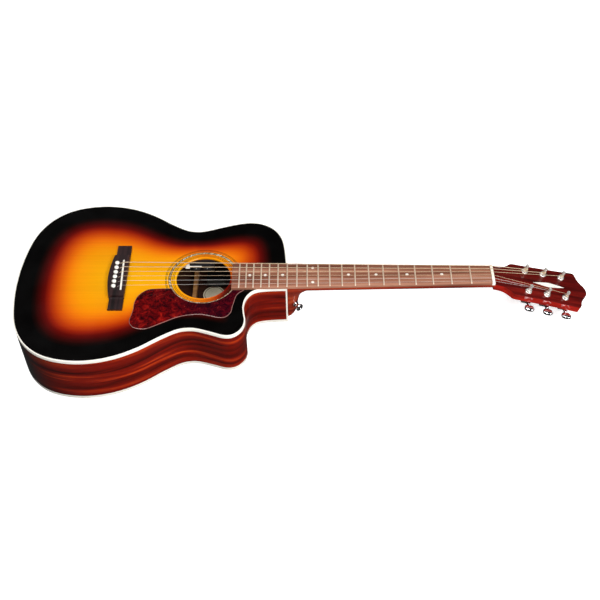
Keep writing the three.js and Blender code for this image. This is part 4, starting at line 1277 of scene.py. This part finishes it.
def makeGears(number, origin, axes):
    y = postSpot(number)[1]
    side = 1 if y > 0 else -1
    low, high = tuner["housingLow"], tuner["housingHigh"]
    rings = bevelled(low, high, 1.8)[:4] + [(0, high - 0.2), (0.15, high)]
    corners = rounded(rectangle(*tuner["caseOutline"]), 2.6, 6)
    case = shell(moved(slab(corners, rings), origin, axes), ends=True)
    cap = lathe([(0, 0.3), (1.5, 0.3), (1.5, -0.35), (1.2, -0.6), (0, -0.7)], 20,
                origin + headAxes[2] * low, axes)

    # the worm's shaft runs outwards from the case into the button
    shaft = fromFrame(joints[f"knob_turn_{number}"]["pos_m"])
    start = [shaft[0], y, shaft[2]]
    outwards = np.array([headAxes[2], headAxes[0], [0, side, 0]])
    halfLong, halfOut, halfThick = tuner["knobAxes"]
    knobLow, knobHigh = span(f"tuner_knob_{number}")
    outer = (knobHigh if side > 0 else -knobLow)[1] - abs(y)
    inner = outer - 2 * halfOut
    reach = inner - 0.8
    arm = lathe([(0, 7.5), (4.6, 7.5), (4.4, 8.8), (3.6, 10.2), (3.1, reach - 2.0), (3.3, reach - 1.4),
                 (3.3, reach - 0.2), (2.9, reach), (0, reach)], 28, start, outwards)
    makePiece(f"gear_case_{number}", [case, arm, cap], chromePlate, "chrome",
              replaces=[f"tuner_housing_{number}"])

    def bent(value):  # a power below 1 squares the ellipse off
        return np.sign(value) * np.abs(value) ** tuner["knobPower"]

    u = np.linspace(-np.pi / 2, np.pi / 2, 25)[:, None]
    v = np.linspace(0, 2 * np.pi, 40, endpoint=False)
    radial, out = bent(np.cos(u)), bent(np.sin(u))
    button = gridOf(halfLong * radial * bent(np.cos(v)) * (0.93 + 0.07 * out),
                    (inner + outer) / 2 + halfOut * out,
                    halfThick * radial * bent(np.sin(v)) * (0.82 + 0.18 * (out + 1) / 2))
    stem = lathe([(0, reach - 5), (1.6, reach - 5), (1.6, inner - 0.3), (2.6, inner + 0.1),
                  (2.6, inner + 1.6), (0, inner + 1.6)], 20, start, outwards)
    node = f"tuner_knob_{number}"
    makePiece(f"knob_{number}", [shell(moved(button, start, axes)), stem], chromePlate, "chrome",
              body=node, replaces=[node], sharp=45)


def makeString(number, origin, axes):
    k = number - 3.5  # counted from the middle of the six
    radius = strings["diameters"][number - 1] / 2
    saddleY, nutY = k * strings["saddleSpacing"], k * strings["nutSpacing"]
    pinX = middle(f"bridge_pin_{number}")[0]
    saddleX = middle("saddle")[0] - saddleY * saddle["slant"]
    around = tuner["waist"] + radius
    path = filleted([
        (pinX + 3.2, saddleY, 2.0),
        (pinX + 3.6, saddleY, bridge["height"] - 2.0),
        (saddleX, saddleY, strings["saddleHeight"] + radius),
        (nutEdge + 1.4, nutY, strings["nutHeight"] + radius + 0.08),
        origin + np.array([0, -around, strings["winding"]]) @ axes,
    ], strings["bend"])
    plain = (plainSteel, "steel", strings["plainTurns"])
    finish, slot, turns = plain if number <= 2 else (bronzeWound, "bronze", strings["woundTurns"])

    def woundPiece(name, grid, lengths, **where):  # grain holds the length along the string
        along = np.repeat(lengths, grid.shape[1])
        grain = np.column_stack([along, along * 0, along * 0]) / 1000
        makePiece(name, [shell(grid, ends=True)], finish, slot, grain=grain, sharp=60, **where)

    woundPiece(f"wire_{number}", tube(path, radius, 12, (0, 1, 0)), travelled(path),
               replaces=[f"string_{number}"])

    # the rest is a helix round the post, going down by a little more than its own thickness a turn
    t = np.linspace(0, 1, int(turns * 28))
    angle = -np.pi / 2 + 2 * np.pi * turns * t
    drop = strings["winding"] - 2 * radius * 1.08 * turns * t
    helix = np.column_stack([around * np.cos(angle), around * np.sin(angle), drop])
    woundPiece(f"winding_{number}", moved(tube(helix, radius, 10, (0, 0, 1)), origin, axes),
               t * turns * 2 * np.pi * around, body=f"tuner_post_{number}")


for number in range(1, 7):
    s, y = postSpot(number)
    origin = headOrigin + np.array([s, y, 0]) @ headAxes
    axes = localAxes(np.sign(y))
    for make in (makePost, makeBushing, makeGears, makeString):
        make(number, origin, axes)
print("tuners and strings made")

# ---- controls, label, jack and strap button
preamp = {"bevel": 1.2, "ribs": 32, "ribDepth": 0.35}


def makePreamp():
    low, high = span("preamp_housing")
    left, front = low[:2]
    corners = rounded(rectangle(*low[:2], *high[:2]), 1.6)
    rings = bevelled(low[2], high[2], preamp["bevel"])[:5] + [(0, high[2])]
    case = shell(slab(corners, rings), ends=True)
    makePiece("preamp_case", [case], blackPlastic, "black_plastic", replaces=["preamp_housing"])
    plates = {  # outline, and depths of the rings below the case's top
        "preamp_tab": (rounded(rectangle(left - 7, front - 4.5, left + 1, high[1]), 1.5),
                       [(0, 3.4), (0, 2.4), (0.3, 2.1)]),
        "preamp_lip": (rounded(rectangle(left, front - 1.2, left + 22, front + 1.5), 0.8, 4),
                       [(0, 2.6), (0, 1.6), (0.2, 1.4)]),
    }
    for name, (edge, rings) in plates.items():
        plate = shell(slab(edge, [(d, high[2] - depth) for d, depth in rings]), ends=True)
        makePiece(name, [plate], ivoryPlastic, "ivory_plastic")
    for name in ("volume", "tone"):
        makeDial(name, *span(f"{name}_wheel"))


def makeDial(name, low, high):
    centre, radius = (low + high)[:2] / 2, (high[0] - low[0]) / 2
    ring = turned([(0, low[2]), (radius - 0.5, low[2]), (radius, low[2] + 0.4), (radius, high[2] - 0.4),
                   (radius - 0.5, high[2]), (0, high[2])], 128)
    angle = np.arctan2(ring[..., 1], ring[..., 0])
    rib = 1 - preamp["ribDepth"] / radius * (np.sin(angle * preamp["ribs"]) > 0)
    rim = np.linalg.norm(ring[..., :2], axis=2) > radius - 0.1
    ring[..., :2] = ring[..., :2] * np.where(rim, rib, 1.0)[..., None] + centre
    mark = lathe([(0, high[2]), (0.6, high[2]), (0.6, high[2] + 0.15), (0, high[2] + 0.15)], 12,
                 (centre[0], centre[1] - radius * 0.72, 0))
    body = f"{name}_wheel"
    makePiece(f"{name}_dial", [shell(ring)], blackPlastic, "black_plastic", body=body, replaces=[body],
              sharp=30)
    makePiece(f"{name}_mark", [mark], ivoryPlastic, "ivory_plastic", body=body)


label = {"centre": (-139.5, 44.5), "radius": 20.3, "proud": 0.25, "sunk": 0.3, "lift": 0.35, "edge": 0.3}


def makeLabel():
    reach, edge = label["radius"], label["edge"]
    disc = turned([(0, 0), (reach, 0), (reach, 1), (reach - edge, 1), (reach * 0.5, 1), (0, 1)], 48)
    radius = np.linalg.norm(disc[..., :2], axis=2).reshape(-1)
    disc[..., :2] += label["centre"]
    inside = rimZ(disc[..., 0]) + bodyShape["plate"] - bodyShape["arch"]
    thickness = label["sunk"] + label["proud"]
    disc[..., 2] = inside - label["sunk"] + disc[..., 2] * thickness + label["lift"]
    grain = np.column_stack([radius * 0, radius, radius * 0]) / 1000
    makePiece("inside_label", [shell(disc)], labelPaper, "ivory_plastic", grain=grain)


jack = [  # (radius, distance past the tail)
    (0, -26), (5.5, -26), (5.5, 0.1), (8.3, 0.1), (8.5, 0.4), (8.5, 2.0), (8.1, 2.5), (6.2, 3.2),
    (5.6, 4.2), (5.5, 6.5), (5.7, 9), (7.4, 11.2), (8, 12), (8, 13.5), (7.6, 14), (3.8, 14), (3.3, 13.5),
    (3.2, -20), (0, -20),
]


def makeJack():
    start = (-bodyShape["length"], *middle("endpin_jack")[1:])
    axes = [[0, 1, 0], [0, 0, 1], [-1, 0, 0]]
    makePiece("tail_jack", [lathe(jack, 48, start, axes)], chromePlate, "chrome",
              replaces=["endpin_jack"])


strapButton = {
    "origin": (13.9, -16.6, -52.0),
    "lean": 50.0,  # degrees away from the neck's direction
    "profile": [
        (0, -1.5), (5.4, -1.5), (5.6, 0.6), (5.4, 1.4), (4.4, 2.2), (3.7, 3.4), (3.5, 5.2), (3.7, 7.6),
        (5.0, 9.4), (6.6, 10.5), (7.2, 11.2), (7.2, 12.2), (6.8, 12.8), (6.0, 13.2), (3.2, 13.2),
        (2.8, 12.7), (0, 12.7),
    ],
}


def makeStrapButton():
    lean = math.radians(strapButton["lean"])
    out = [math.cos(lean), -math.sin(lean), 0]
    side = [math.sin(lean), math.cos(lean), 0]
    button = lathe(strapButton["profile"], 40, strapButton["origin"], [side, [0, 0, 1], out])
    makePiece("strap_button", [button], chromePlate, "chrome", replaces=["heel_strap_button"])


def dressKeptNodes():
    spruceNodes = ["top_bracing", "back_bracing", "bridge_plate", "top_lining", "back_lining",
                   "neck_block", "tail_block"]
    finishes = dict.fromkeys(spruceNodes, braceSpruce)
    finishes |= {"battery": batteryFoil, "piezo_strip": brassBraid, "truss_rod": plainSteel}
    for node, finish in finishes.items():
        data = frame["nodes"][node].data
        data.materials.clear()
        data.materials.append(finish)


makePreamp()
makeLabel()
makeJack()
makeStrapButton()
dressKeptNodes()
print("controls and fittings made")
